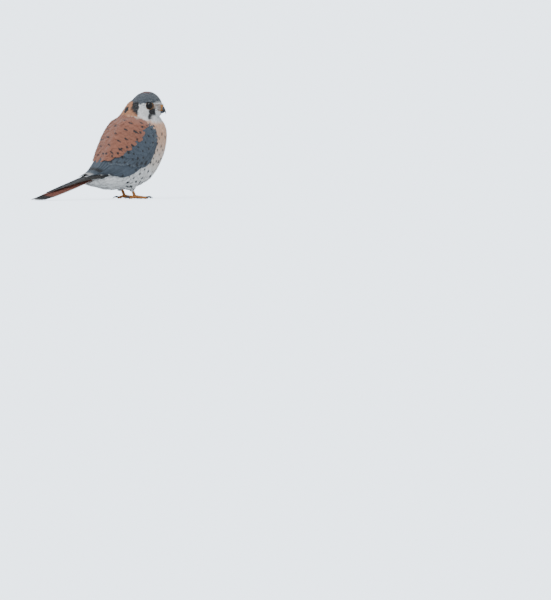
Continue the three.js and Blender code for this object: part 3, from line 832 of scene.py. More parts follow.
def small_feathers(skin, body_map, marks, ink, material):
    """Every small feather, kind by kind, in pieces under the size limit."""
    rng = np.random.default_rng(7)
    points = skin.candidates(COAT_TRIES, rng)
    station, degrees = body_map.find(points)
    kind = kind_at(points, station, degrees)
    gap = np.array([KINDS[k][2] if k in KINDS else 1.0 for k in kind])
    for name, (length, half, _, rise, edge, ragged, rows, columns) in KINDS.items():
        faces = vane_template(rows, columns)
        limit = PIECE_LIMIT // sum(len(face) - 2 for face in faces)
        own = np.where(kind == name)[0]
        own = own[spread_out(points[own], gap[own])]
        roots = points[own]
        _, normals = skin.nearest(roots)
        way = lie(roots, normals, station[own], degrees[own])
        turn = rng.normal(0, 0.22 if name in ("vent", "belly") else 0.08, len(own))
        way = unit(way + np.cross(normals, way) * turn[:, None])
        vary = rng.uniform(0.85, 1.15, len(own))
        middle, up = laid_on(skin, roots, way, length * vary, rise * rng.uniform(0.8, 1.15, len(own)), rows)
        shape, s, q = feather_points(
            middle, up, half * vary, edge, columns, rng, camber=0.14, thick=0.12, ragged=ragged
        )
        flat = shape.reshape(-1, 3)
        each = shape.shape[1]
        places = (row.repeat(each, 0) for row in (roots, station[own], degrees[own]))
        colour = coat_colour(name, flat, *places, ink)
        # Each feather gets a random tone of its own, and painted shade: it is darker towards its root, where
        # the feathers over it shade it.
        light = rng.normal(1, 0.04, len(own)).repeat(each)
        light = light * (0.9 + 0.14 * np.tile(s, len(own)))
        colour = marks.paint(colour * light[:, None], flat, ink)
        colour = np.clip(colour, 0, 1).reshape(shape.shape)
        home = bake_home(roots, station[own], degrees[own])
        for first in range(0, len(own), limit):
            part = slice(first, first + limit)
            title = f"{name}_feathers" + (f"_{first // limit + 1}" if len(own) > limit else "")
            slot = COAT_SLOTS.get(name, "body_plumage")
            joined_feathers(title, shape[part], faces, colour[part], s, q, material, slot, home[part])


# Each tier of long feathers of the folded wing: how many, the outermost and the innermost feather as
# (root station, root degrees, tip station, tip degrees, width), and the height over the body at the roots, at
# the outermost tip and at the innermost tip
TIERS = {
    "primary": (8, (5.2, 90, 0.72, 13, 9.5), (4.6, 66, 1.8, 10, 10.5), (0.6, -0.2, -0.1)),
    "secondary": (12, (6.2, 97, 4.1, 86, 10), (4.9, 42, 2.45, 20, 13), (0.2, 1.7, 1.8)),
    "tertial": (4, (5.5, 44, 2.6, 22, 12.5), (5.2, 12, 2.7, 4, 13), (-0.8, 2.2, 2.3)),
    "greater": (11, (7.4, 103, 5.8, 97, 9), (5.9, 48, 4.3, 42, 11), (0.0, 2.3, 1.0)),
    "alula": (2, (7.8, 104, 6.6, 101, 5.5), (7.7, 100, 6.8, 98, 5.5), (0.2, 1.5, 1.6)),
}


def long_vane(root, tip, side, lift, rows):
    """Middle line and normals of one long feather along the body surface."""
    s = np.linspace(0, 1, rows)
    station = root[0] + (tip[0] - root[0]) * s
    degrees = side * (root[1] + (tip[1] - root[1]) * s)
    normal = body_normal(station, degrees)
    height = lift[0] + (lift[1] - lift[0]) * s
    return on_body(station, degrees) + normal * height[:, None], normal


def vane_colour(tier, share, s, q, ink):
    """The colour of a long feather from its root, s = 0, to its tip, for q from -1 to 1 across it. share is 0
    for the outermost feather of its tier and 1 for the innermost."""
    tone = np.tile(ink["slate"], (len(s), 1))
    edge = smooth(0.9, 0.985, s)
    if tier == "primary":
        tone = np.tile(ink["ink"] * 1.2, (len(s), 1))
        tone = mix(tone, ink["cream"] * 0.4, smooth(0.9, 1.0, np.abs(q)) * smooth(0.3, 0.6, s) * 0.3)
    elif tier == "secondary":
        tone = mix(tone, ink["ink"], smooth(0.8, 0.84, s) * smooth(0.92, 0.9, s) * 0.6)
        tone = mix(tone, ink["white"] * 0.85, smooth(0.945, 0.965, s))
    elif tier == "tertial":
        bar = smooth(0.62, 0.68, s) * smooth(0.82, 0.76, s)
        tone = mix(tone * 1.08, ink["ink"], bar * 0.95)
        tone = mix(tone, ink["white"] * 0.7, edge * 0.85)
    elif tier == "greater":
        drop = smooth(1.2, 0.9, np.hypot((s - 0.78) / 0.07, q / 0.42)) * (0.5 + 0.5 * math.cos(7 * share))
        tone = mix(tone, ink["ink"], drop)
        tone = mix(tone, ink["white"] * 0.6, edge * 0.12)
    elif tier == "alula":
        tone = tone * 0.9
    return mix(tone, ink["ink"] * 1.6, shaft_mask(s, q))


def shaft_mask(s, q):
    """Where the dark shaft of a long feather shows."""
    return smooth(0.09, 0.03, np.abs(q)) * smooth(0.98, 0.9, s) * 0.5


LONG_ROWS, LONG_COLUMNS = 21, 11
WING_LEAN = 0.1  # how far the lower edge of each long feather stands out
CROSSED = 0.9  # how much higher the right wing's tip lies, over the left one's
WING_JITTER = (0.05, 0.4, 0.05, 0.4)  # how uneven the feathers' places are, in stations and degrees


def long_feathers(ink, material, marks):
    """The tiers of the two folded wings."""
    faces = vane_template(LONG_ROWS, LONG_COLUMNS)
    for side in SIDES:
        rng = np.random.default_rng(31)
        shapes, tints = [], []
        for tier, (count, outermost, innermost, lift) in TIERS.items():
            for i in range(count):
                share = i / (count - 1)
                row = np.array(outermost) + (np.array(innermost) - np.array(outermost)) * share
                row[:4] += rng.normal(0, 1, 4) * WING_JITTER
                crossed = CROSSED if side < 0 and tier == "primary" else 0
                lifts = lift[0], lift[1] + (lift[2] - lift[1]) * share + crossed
                middle, normal = long_vane(row[:2], row[2:4], side, lifts, LONG_ROWS)
                edge = LONG_EDGE if tier in ("primary", "secondary", "alula") else ROUND_EDGE
                shape, s, q = feather_points(
                    middle[None], normal[None], np.array([row[4] / 2]), edge, LONG_COLUMNS, rng,
                    camber=0.1, thick=0.3, lean=-WING_LEAN * side, ragged=0.015,
                )
                tint = vane_colour(tier, share, s, q, ink) * rng.normal(1, 0.05)
                if tier in ("greater", "secondary"):
                    tint = marks.paint(tint, shape[0], ink)
                shapes.append(shape[0])
                tints.append(np.clip(tint, 0, 1))
        vanes = np.array(shapes), faces, np.array(tints), s, q
        word = word_of(side)
        joined_feathers(
            f"wing_feathers_{word}", *vanes, material, "wing_plumage", replaced=(f"wing_{word}",)
        )


def tail_colour(pair, s, q, ink):
    """Chestnut with a black band before a pale tip. The outermost feathers have a white outer edge."""
    tone = np.tile(ink["chestnut"], (len(s), 1))
    tone = mix(tone, ink["rufous"], smooth(0.2, 1, np.abs(q)) * 0.35)
    if pair == TAIL["pairs"] - 1:
        tone = mix(tone, ink["white"] * 0.85, smooth(0.35, 0.55, np.abs(q)) * 0.9)
    tone = mix(tone, ink["ink"], smooth(0.845, 0.865, s + 0.01 * np.sin(9 * q)))
    tone = mix(tone, ink["white"] * (0.6 if pair else 0.4), smooth(0.972, 0.985, s) * 0.8)
    return mix(tone, ink["ink"] * 2, shaft_mask(s, q))


TAIL_ROWS, TAIL_COLUMNS = 31, 11


def tail_feathers(ink, material):
    """The twelve feathers of the tail, in six pairs, the middle pair on top."""
    along = np.array([-math.cos(TAIL["drop"]), 0, -math.sin(TAIL["drop"])])
    up = np.array([-math.sin(TAIL["drop"]), 0, math.cos(TAIL["drop"])])
    rng = np.random.default_rng(5)
    half = np.array([TAIL["half"]])
    s = np.linspace(0, 1, TAIL_ROWS)[:, None]
    turn_up = np.where(s > 0.5, 3.5 * (s - 0.5) ** 2, 0)
    shapes, tints = [], []
    for pair in range(TAIL["pairs"]):
        for side in SIDES:
            place = pair + (0.5 if side < 0 else 0)
            spread = side * (0.8 + TAIL["fan"] * place)
            start = np.array([TAIL["root"][0], spread * 0.8, TAIL["root"][1] - TAIL["layer"] * place * 0.75])
            length = TAIL["length"] - 0.3 * place**2
            middle = start + along * s * length + up * (0.3 + turn_up)
            middle[:, 1] += spread * s[:, 0] * 0.6
            normal = np.tile(up, (TAIL_ROWS, 1))
            shape, s_all, q_all = feather_points(
                middle[None], normal[None], half, LONG_EDGE, TAIL_COLUMNS, rng,
                camber=0.05, thick=0.35, lean=0.13 * side, ragged=0.01,
            )
            shapes.append(shape[0])
            tints.append(np.clip(tail_colour(pair, s_all, q_all, ink) * rng.normal(1, 0.04), 0, 1))
    vanes = np.array(shapes), vane_template(TAIL_ROWS, TAIL_COLUMNS), np.array(tints), s_all, q_all
    joined_feathers("tail_feathers", *vanes, material, "tail_plumage", replaced=("tail",))


# Skin

# Each thigh from its top: ahead of the leg, height, out from the leg and radius
THIGH = ((-5, 42, 5, 10), (-5, 27, 4.5, 10.5), (-4, 12.5, 0, 3.6))
BROW = {"forward": 5.8, "out": 10.9, "up": 7.0, "radius": 4.6, "shape": (1.5, 0.78, 0.32)}
SKIN_CELL = 0.9
SKIN_SOFTENING = 8
SKIN_PAINTED_SHADE = 0.82  # painted shade: the skin is a little darker than the coat over it, so the gaps between feathers look shaded


def make_skin(material):
    """One closed skin over body, head, brows and thighs, in the plumage's colours darkened as painted shade.
    """
    depth = sizes()
    bm = bmesh.new()
    moved_ball(bm, 72, 90, lambda share, angle: body_point(share, angle, depth["coat"], depth["wing_bulge"]))
    moved_ball(bm, 48, 40, lambda share, angle: head_point(share, angle, depth["face_coat"]))
    for side in SIDES:
        brow = on_head(BROW["forward"], side * BROW["out"], BROW["up"])
        ball = bmesh.ops.create_uvsphere(bm, u_segments=24, v_segments=14, radius=BROW["radius"])
        for vertex in ball["verts"]:
            x, y, z = np.array(vertex.co) * BROW["shape"]
            vertex.co = brow + HEAD_X * x + HEAD_Y * y + UP * z
        radii = np.array([row[3] for row in THIGH]) - depth["coat"] * np.array([1, 1, 0.6])
        limb(bm, [leg_point(side, x, z, out) for x, z, out, _ in THIGH], radii, 28, 17)
    as_metres(bm)
    piece = linked("skin_rough", as_mesh(bm, "skin_rough"))
    remesh = piece.modifiers.new("one skin", "REMESH")
    remesh.mode = "VOXEL"
    remesh.voxel_size = SKIN_CELL * MM
    soften = piece.modifiers.new("soften", "SMOOTH")
    soften.factor = 0.5
    soften.iterations = SKIN_SOFTENING
    bpy.context.view_layer.update()
    mesh = bpy.data.meshes.new_from_object(piece.evaluated_get(bpy.context.evaluated_depsgraph_get()))
    bpy.data.objects.remove(piece)
    mesh.name = "skin"
    mesh.polygons.foreach_set("use_smooth", np.ones(len(mesh.polygons), bool))
    mesh.materials.clear()
    registered(mesh, "skin", material, "body_plumage", ("torso", "neck", "head", "thigh_left", "thigh_right"))
    skin = Skin()
    body_map = BodyMap()
    station, degrees = body_map.find(skin.points)
    # Painted shade: the skin takes the plumage's colours a little darker, as the shade that lies under the
    # feathers.
    tint = plumage(skin.points, station, degrees, colours()) * SKIN_PAINTED_SHADE
    tint = Marks(skin, body_map).paint(tint, skin.points, colours())
    colour_layer(mesh, "Plumage", np.clip(tint, 0, 1))


# Head parts

# Where pupil and iris end, as the distances from the eye's axis between which they fade
PUPIL_EDGE, IRIS_EDGE = (2.9, 3.3), (4.1, 4.9)


def eyeball(side, ink, material):
    """A wet eye with a dark iris round its pupil."""
    bm = bmesh.new()
    outward = HEAD_Y * side
    centre = eye_centre(side)

    def at(share, angle):
        turn = math.pi * (1 - share)
        if angle is None:
            return centre + outward * EYE["radius"] * (-1 if share < 0.5 else 1)
        round_ = HEAD_X * math.cos(angle) + UP * math.sin(angle)
        return centre + EYE["radius"] * (outward * math.cos(turn) + round_ * math.sin(turn))

    moved_ball(bm, 48, 40, at)
    word = word_of(side)
    piece = finished(bm, f"eye_{word}_wet", material, "eye", (f"eye_{word}",))
    points = mesh_points(piece.data)
    off = points - centre
    apart = np.linalg.norm(off - (off @ outward)[:, None] * outward, axis=1)
    tint = mix(np.tile(ink["ink"] * 0.15, (len(points), 1)), ink["iris"], smooth(*PUPIL_EDGE, apart))
    tint = mix(tint, ink["iris"] * 0.3, smooth(*IRIS_EDGE, apart))
    colour_layer(piece.data, "Plumage", tint)


def ring(bm, around, section, at):
    """Adds a closed ring whose points are at(radians round the ring, radians round its section)."""
    circle = bmesh.ops.create_circle(bm, segments=section, radius=0.2)["verts"]
    bmesh.ops.rotate(bm, verts=circle, matrix=Matrix.Rotation(math.pi / 2, 3, "X"))
    bmesh.ops.translate(bm, verts=circle, vec=(1, 0, 0))
    before = set(bm.verts) - set(circle)
    geom = circle + list({edge for vertex in circle for edge in vertex.link_edges})
    bmesh.ops.spin(
        bm, geom=geom, cent=(0, 0, 0), axis=(0, 0, 1), angle=2 * math.pi, steps=around, use_merge=True
    )
    for vertex in set(bm.verts) - before:
        round_ = math.atan2(vertex.co.y, vertex.co.x)
        section_angle = math.atan2(vertex.co.z, math.hypot(vertex.co.x, vertex.co.y) - 1)
        vertex.co = at(round_, section_angle)


# The lids are two rings: radius, thickness and how far each stands out
LID_RINGS = ((5.1, 0.45, 0.0), (4.72, 0.3, 0.4))
LID_AHEAD, LID_OUT, LID_TURN = 0.5, 2.9, 0.17  # of the rings' middle, from the eye's


def eye_ring(side, material):
    """The lids: a ring of bare skin in fine grains, a little heavier over the eye."""
    bm = bmesh.new()
    outward = unit(HEAD_Y * side + HEAD_X * LID_TURN)
    ahead = unit(HEAD_X - outward * (HEAD_X @ outward))
    middle = on_head(EYE["forward"] + LID_AHEAD, side * (EYE["out"] + LID_OUT), EYE["up"])
    for radius, thick, rise in LID_RINGS:

        def at(round_, section):
            grain = 1 + 0.1 * math.sin(31 * round_) * math.cos(section)
            droop = 0.45 * max(0.0, math.sin(round_)) ** 2
            out = radius - droop + thick * grain * math.cos(section)
            spread = ahead * math.cos(round_) + UP * math.sin(round_)
            return middle + spread * out + outward * (rise + thick * grain * math.sin(section))

        ring(bm, 96, 10, at)
    word = word_of(side)
    finished(bm, f"eye_ring_{word}", material, "bare_skin", (f"lids_{word}",))


# Sections of cere and bill from the face to the tip: forward, top, bottom, half of the width
CERE = (
    (14, 3.4, -6, 5.6),
    (17.2, 3.1, -5.9, 5.3),
    (18.5, 2.6, -5.6, 4.5),
    (19.8, 2.1, -5.4, 3.95),
    (20.8, 1.4, -5.4, 3.6),
)
UPPER_BILL = (
    (14, 1.6, -5.4, 3.5),
    (19.6, 1.8, -5.5, 3.6),
    (21.2, 0.8, -5.8, 3.25),
    (22.6, -1.1, -6.6, 2.6),
    (23.6, -3.4, -7.6, 1.95),
    (24.2, -5.6, -8.9, 1.3),
    (24.4, -7.4, -10.2, 0.75),
)
LOWER_BILL = ((10, -4.6, -8.8, 3.4), (17, -4.6, -8.7, 3.3), (20.0, -4.8, -8.4, 2.75), (21.9, -5.4, -7.9, 1.6))


TIP_START = 0.93  # the share of a bill half past which its tip rounds off


def bump_at(value, middle, width):
    return math.exp(-(((value - middle) / width) ** 2))


def bill_form(bm, sections, grow, tooth):
    """Adds a bill half: a round loft through its sections, with an optional tooth in its cutting edge."""

    def at(share, angle):
        forward, top, bottom, half = spline(sections, share)
        closing = math.sqrt(max(0.0, 1 - max(0.0, (share - TIP_START) / (1 - TIP_START)) ** 2))
        middle = (top + bottom) / 2
        if angle is None:
            return on_head(forward, 0, middle)
        pinch = 0.82 if math.cos(angle) > 0 else 1
        notch = tooth * (bump_at(share, 0.62, 0.045) - 0.6 * bump_at(share, 0.73, 0.04))
        tall = (top - bottom) / 2 + grow + (notch if math.cos(angle) < 0 else 0)
        return on_head(
            forward,
            (half + grow) * closing * math.sin(angle) * pinch,
            middle + tall * closing * signed_power(math.cos(angle), BILL_ROUNDNESS),
        )

    moved_ball(bm, 40, 44, at)


def bill(bare, horn, dark):
    for name, sections, grow, tooth, material, slot, replaced in (
        ("beak_upper", UPPER_BILL, 0.0, 0.35, horn, "bill", "bill_upper"),
        ("beak_lower", LOWER_BILL, 0.0, 0.0, horn, "bill", "bill_lower"),
        ("cere_skin", CERE, 0.12, 0.0, bare, "bare_skin", "cere"),
    ):
        bm = bmesh.new()
        bill_form(bm, sections, grow, tooth)
        finished(bm, name, material, slot, (replaced,))
    for side in SIDES:
        nostril(side, bare, dark)


NOSTRIL = {"forward": 18.6, "out": 4.05, "up": -0.6, "radius": 0.85, "rim": 0.28, "knob": 0.25}


def nostril(side, bare, dark):
    """A round nostril in a low rim, with the small knob that falcons have in it, over a flat dark disc of
    painted shade for its hole.
    """
    at_nostril = on_head(NOSTRIL["forward"], side * NOSTRIL["out"], NOSTRIL["up"])
    outward = unit(HEAD_Y * side + HEAD_X * 0.12 + UP * 0.2)
    ahead = unit(HEAD_X - outward * (HEAD_X @ outward))
    over = np.cross(outward, ahead)
    bm = bmesh.new()

    def rim(round_, section):
        spread = ahead * math.cos(round_) + over * math.sin(round_)
        out = NOSTRIL["radius"] + NOSTRIL["rim"] * math.cos(section)
        return at_nostril + spread * out + outward * 0.3 * math.sin(section)

    ring(bm, 32, 8, rim)
    knob = bmesh.ops.create_uvsphere(bm, u_segments=16, v_segments=10, radius=NOSTRIL["knob"])
    for vertex in knob["verts"]:
        vertex.co = np.array(vertex.co) + at_nostril + outward * 0.05
    finished(bm, "nostril_rim_" + word_of(side), bare, "bare_skin")
    # The hole is a flat dark disc under the rim: painted shade where the nostril opens into the cere.
    bm = bmesh.new()
    hole = bmesh.ops.create_uvsphere(bm, u_segments=24, v_segments=12, radius=NOSTRIL["radius"])
    for vertex in hole["verts"]:
        x, y, z = vertex.co
        vertex.co = at_nostril - outward * 0.02 + ahead * x + over * y + outward * z * 0.12
    finished(bm, "nostril_" + word_of(side), dark, "bill")


def lores(title, tone, material, count, nearest, farthest, half_width):
    """Small feathers between bill and eye that point forward, over the edge of the cere."""
    rng = np.random.default_rng(12)
    middles, ups = [], []
    rows = 7
    s = np.linspace(0, 1, rows)[:, None]
    for side in SIDES:
        for _ in range(count):
            forward, up = rng.uniform(nearest, farthest), rng.uniform(-5.2, 2.6)
            half = np.interp(forward, HEAD_SECTIONS[:, 0], HEAD_SECTIONS[:, 3])
            root = on_head(forward, side * (half - 1.3), up)
            way = HEAD_X * rng.uniform(0.4, 0.9) + UP * rng.uniform(-0.1, 0.6)
            way = unit(way + HEAD_Y * side * rng.uniform(0, 0.2))
            middles.append(root + way * s * rng.uniform(1.6, 2.6) + UP * 0.4 * s**2)
            ups.append(np.tile(HEAD_Y * side, (rows, 1)))
    widths = np.full(len(middles), half_width)
    points, along, across = feather_points(
        np.array(middles), np.array(ups), widths, PLUME_EDGE, 3, rng, camber=0.3, thick=0.12
    )
    tint = np.tile(tone, (points.shape[0], points.shape[1], 1))
    roots = np.array(middles)[:, 0]
    home = bake_home(roots, np.full(len(roots), 12.0), np.zeros(len(roots)))
    faces = vane_template(rows, 3)
    joined_feathers(title, points, faces, tint, along, across, material, "head_plumage", home)


# Legs

# The shank from the thigh to the foot: ahead of the leg, height and radius
SHANK = ((-12, 34, 1.75), (-5.25, 19.5, 1.75), (1.5, 5, 2.0), (2.1, 3, 2.1))
SHANK_SCUTES = 22
# Each toe with its pads: share of its length, height and radius
PADS = (
    (-0.06, 3.3, 2.2), (0.14, 3.4, 2.0), (0.3, 3.2, 1.6), (0.42, 2.7, 1.65), (0.55, 2.25, 1.95),
    (0.68, 2.2, 1.55), (0.8, 2, 1.5), (0.92, 1.9, 1.75), (1, 1.75, 1.5),
)
SCUTES_FOR_LENGTH = 0.9
# Each claw over the toe's end: share of its length, height and radius
CLAW = ((0.1, 2.75, 1.25), (0.4, 2.95, 1.05), (0.75, 2.15, 0.7), (1, 0.4, 0.16))
CLAW_ROOT = (-1.4, 1.9, 1.25)  # how far past the toe's end, height and radius
SOLE = 0.05


def scaled_limb(bm, points, radii, scutes):
    """Adds a limb whose upper side is stepped in scutes, with fine pebbles under it."""

    def relief(share, angle):
        step = (share * scutes) % 1
        scute = 0.16 * (1 - step) * max(0.0, math.sin(angle)) ** 0.5
        pebbles = math.sin(4 * scutes * math.pi * share) * math.sin(9 * angle)
        return scute + 0.05 * pebbles * (math.sin(angle) < 0.1)

    limb(bm, points, radii, 20, scutes * 5, sweep=(0, 0, 1), blunt=5, relief=relief)


def stood(bm):
    """Keeps a foot's points on or over the floor."""
    for vertex in bm.verts:
        vertex.co.z = max(vertex.co.z, SOLE)


def leg(side, leg_material, claw_material):
    word = word_of(side)
    bm = bmesh.new()
    points = [leg_point(side, x, z) for x, z, _ in SHANK]
    scaled_limb(bm, points, [radius for _, _, radius in SHANK], SHANK_SCUTES)
    finished(bm, "tarsus_" + word, leg_material, "leg_skin", ("shank_" + word,))
    bm = bmesh.new()
    for toe in TOES.values():
        points = [toe_point(side, toe, share * toe["length"], z) for share, z, _ in PADS]
        scutes = max(8, round(toe["length"] * SCUTES_FOR_LENGTH))
        scaled_limb(bm, points, [radius for _, _, radius in PADS], scutes)
    stood(bm)
    finished(bm, "toes_" + word, leg_material, "leg_skin", ("foot_" + word,))
    for name, toe in TOES.items():
        bm = bmesh.new()
        line = (CLAW_ROOT, *((share * toe["claw"], z, radius) for share, z, radius in CLAW))
        points = [toe_point(side, toe, toe["length"] + out, z) for out, z, _ in line]
        limb(bm, points, [radius for _, _, radius in line], 18, 23)
        stood(bm)
        finished(bm, f"talon_{name}_{word}", claw_material, "claw", (f"claw_{name}_{word}",))


# Materials

def texture_group(name, size, value):
    """A group of shader nodes that turns one size into a Height and a Shade, with the size and its output."""
    group = bpy.data.node_groups.new(name, "ShaderNodeTree")
    for socket in ("Height", "Shade"):
        group.interface.new_socket(socket, in_out="OUTPUT", socket_type="NodeSocketFloat")
    made = group.interface.new_socket(size, in_out="INPUT", socket_type="NodeSocketFloat")
    made.default_value = value
    given = group.nodes.new("NodeGroupInput")
    return group, given.outputs[size], group.nodes.new("NodeGroupOutput")


def maths(nodes, links, operation, *values):
    """A maths node. Each value is a number or a socket."""
    node = nodes.new("ShaderNodeMath")
    node.operation = operation
    for socket, value in zip(node.inputs, values):
        if isinstance(value, (int, float)):
            socket.default_value = value
        else:
            links.new(value, socket)
    return node.outputs[0]


def barbs_group():
    """Fine barbs that run from the shaft to the edge of each vane, and the raised shaft."""
    group, count, out = texture_group("Barbs", "Count", 30.0)
    nodes, links = group.nodes, group.links
    place = nodes.new("ShaderNodeUVMap")
    place.uv_map = "Vane"
    parts = nodes.new("ShaderNodeSeparateXYZ")
    links.new(place.outputs[0], parts.inputs[0])
    off = maths(nodes, links, "ABSOLUTE", maths(nodes, links, "SUBTRACT", parts.outputs[0], 0.5))
    slant = maths(nodes, links, "SUBTRACT", parts.outputs[1], maths(nodes, links, "MULTIPLY", off, 0.5))
    turns = maths(nodes, links, "MULTIPLY", slant, maths(nodes, links, "MULTIPLY", count, 2 * math.pi))
    wave = maths(nodes, links, "SINE", turns)
    shaft = maths(nodes, links, "LESS_THAN", off, 0.025)
    links.new(maths(nodes, links, "MULTIPLY_ADD", shaft, 2.0, wave), out.inputs["Height"])
    links.new(maths(nodes, links, "MULTIPLY_ADD", wave, 0.06, 0.97), out.inputs["Shade"])
    return group


def speckle_group():
    """Fine noise over the whole bird."""
    group, scale, out = texture_group("Speckle", "Scale", 900.0)
    nodes, links = group.nodes, group.links
    place = nodes.new("ShaderNodeTexCoord")
    noise = nodes.new("ShaderNodeTexNoise")
    noise.inputs["Detail"].default_value = 4
    links.new(place.outputs["Object"], noise.inputs["Vector"])
    links.new(scale, noise.inputs["Scale"])
    links.new(noise.outputs["Fac"], out.inputs["Height"])
    links.new(maths(nodes, links, "MULTIPLY_ADD", noise.outputs["Fac"], 0.3, 0.85), out.inputs["Shade"])
    return group


def grains_group():
    """The grains of bare skin and scales."""
    group, scale, out = texture_group("Grains", "Scale", 1400.0)
    nodes, links = group.nodes, group.links
    place = nodes.new("ShaderNodeTexCoord")
    cells = nodes.new("ShaderNodeTexVoronoi")
    links.new(place.outputs["Object"], cells.inputs["Vector"])
    links.new(scale, cells.inputs["Scale"])
    height = maths(nodes, links, "SUBTRACT", 1.0, cells.outputs["Distance"])
    links.new(height, out.inputs["Height"])
    links.new(maths(nodes, links, "MULTIPLY_ADD", height, 0.3, 0.72), out.inputs["Shade"])
    return group


def surface(name, group, detail, roughness, bump, tint=None, sheen=0.0, coat=0.0, specular=0.5):
    """A material: the tint, or the Plumage colours without one, shaded and bumped by a group."""
    material = bpy.data.materials.new(name)
    material.use_nodes = True
    nodes, links = material.node_tree.nodes, material.node_tree.links
    shader = nodes["Principled BSDF"]
    shader.inputs["Roughness"].default_value = roughness
    shader.inputs["Sheen Weight"].default_value = sheen
    shader.inputs["Sheen Roughness"].default_value = 0.6
    shader.inputs["Coat Weight"].default_value = coat
    shader.inputs["Coat Roughness"].default_value = 0.04
    shader.inputs["Specular IOR Level"].default_value = specular
    if tint is None:
        base = nodes.new("ShaderNodeAttribute")
        base.attribute_name = "Plumage"
        colour = base.outputs["Color"]
    else:
        base = nodes.new("ShaderNodeRGB")
        base.outputs[0].default_value = (*tint, 1)
        colour = base.outputs[0]
    texture = nodes.new("ShaderNodeGroup")
    texture.node_tree = group
    texture.inputs[0].default_value = detail
    shaded = nodes.new("ShaderNodeVectorMath")
    shaded.operation = "SCALE"
    links.new(colour, shaded.inputs[0])
    links.new(texture.outputs["Shade"], shaded.inputs["Scale"])
    links.new(shaded.outputs[0], shader.inputs["Base Color"])
    height = nodes.new("ShaderNodeBump")
    height.inputs["Strength"].default_value = bump
    height.inputs["Distance"].default_value = 0.1 * MM
    links.new(texture.outputs["Height"], height.inputs["Height"])
    links.new(height.outputs["Normal"], shader.inputs["Normal"])
    return material


def looks():
    """Every material, made once."""
    if "small feathers" not in bpy.data.materials:
        ink = colours()
        barbs, speckle, grains = barbs_group(), speckle_group(), grains_group()
        surface("skin", speckle, detail=900, roughness=0.85, bump=0.4)
        surface("small feathers", barbs, detail=14, roughness=0.78, bump=0.35, sheen=0.25, specular=0.25)
        surface("long feathers", barbs, detail=110, roughness=0.6, bump=0.5, sheen=0.1, specular=0.35)
        surface("wet eye", speckle, detail=300, roughness=0.05, bump=0, specular=0.3)
        surface("bare skin", grains, detail=1500, roughness=0.45, bump=0.35, tint=ink["bare"])
        surface("lid skin", grains, detail=1500, roughness=0.5, bump=0.35, tint=ink["lid"])
        surface("horn", speckle, detail=500, roughness=0.3, bump=0.1, coat=0.25)
        # The nostril's dark colour is painted shade for the depth of its hole.
        surface("nostril", speckle, detail=500, roughness=0.6, bump=0.1, tint=ink["ink"] * 0.3)
        surface("scales", grains, detail=1100, roughness=0.5, bump=0.5, tint=ink["leg"])
        surface("claw horn", speckle, detail=500, roughness=0.28, bump=0.1, tint=ink["claw"], coat=0.3)
    return bpy.data.materials


def shade_bill(ink):
    """Blue-grey at the base of the bill, dark at its tip."""
    for name in ("beak_upper", "beak_lower"):
        mesh = bpy.data.objects[name].data
        local = in_head(mesh_points(mesh))
        dark = smooth(20.6, 23.4, local[:, 0] - 0.25 * local[:, 2])
        base = np.tile(ink["horn"] * 1.15, (len(local), 1))
        colour_layer(mesh, "Plumage", mix(base, ink["ink"] * 0.9, dark))


# Stage

# The photo: millimetres for each of its pixels, its size, and the place of the bird's origin in it
PIXEL = 1.32
PICTURE = (551, 600)
ORIGIN_PIXEL = (127.7, 199.0)
CAMERA = {
    "azimuth": math.radians(-35),
    "elevation": math.radians(2.0),
    "distance": 15_000.0,
    "sensor": 36.0,
    "clip_end": 400,
}


def camera():
    """A far camera with the photo's framing, which keeps the bird small at the upper left."""
    a, e = CAMERA["azimuth"], CAMERA["elevation"]
    right = np.array([math.cos(a), math.sin(a), 0])
    back = np.array([math.sin(a) * math.cos(e), -math.cos(a) * math.cos(e), math.sin(e)])
    up = np.cross(back, right)
    across = (PICTURE[0] / 2 - ORIGIN_PIXEL[0]) * PIXEL
    below = (ORIGIN_PIXEL[1] - PICTURE[1] / 2) * PIXEL
    aim = right * across + up * below
    data = bpy.data.cameras.new("camera")
    data.sensor_width = CAMERA["sensor"]
    data.lens = CAMERA["sensor"] * CAMERA["distance"] / (PICTURE[1] * PIXEL)
    data.clip_end = CAMERA["clip_end"]
    piece = linked("camera", data)
    turn = Matrix((right, up, back)).transposed().to_4x4()
    piece.matrix_world = Matrix.Translation(placed(aim + back * CAMERA["distance"])) @ turn
    bpy.context.scene.camera = piece


def brighten(material, tint, strength):
    """Makes a surface look brighter to the camera alone, so that it throws no more light on the bird."""
    nodes, links = material.node_tree.nodes, material.node_tree.links
    shader, out = nodes["Principled BSDF"], nodes["Material Output"]
    glow = nodes.new("ShaderNodeEmission")
    glow.inputs["Color"].default_value = (*tint, 1)
    ray = nodes.new("ShaderNodeLightPath")
    seen = maths(nodes, links, "MULTIPLY", ray.outputs["Is Camera Ray"], strength)
    links.new(seen, glow.inputs["Strength"])
    both = nodes.new("ShaderNodeAddShader")
    links.new(shader.outputs[0], both.inputs[0])
    links.new(glow.outputs[0], both.inputs[1])
    links.new(both.outputs[0], out.inputs["Surface"])


# The floor: half of its side in metres, its tint, and the tint and the strength of its glow
FLOOR = {"half": 150, "tint": "dfe6ec", "glow_tint": "dce8f4", "glow": 2.7}
# The world: its tint, and how bright it is as light, and to the camera, where it meets the floor
SKY_TINT, SKY_LIGHT, SKY_SEEN = "e6edf4", 0.95, 3.7
# Soft lamps far off: strength, and in degrees the width, the tilt and the turn
LAMPS = {"key": (1.9, 35, 42, -75), "fill": (0.6, 60, 60, 20)}


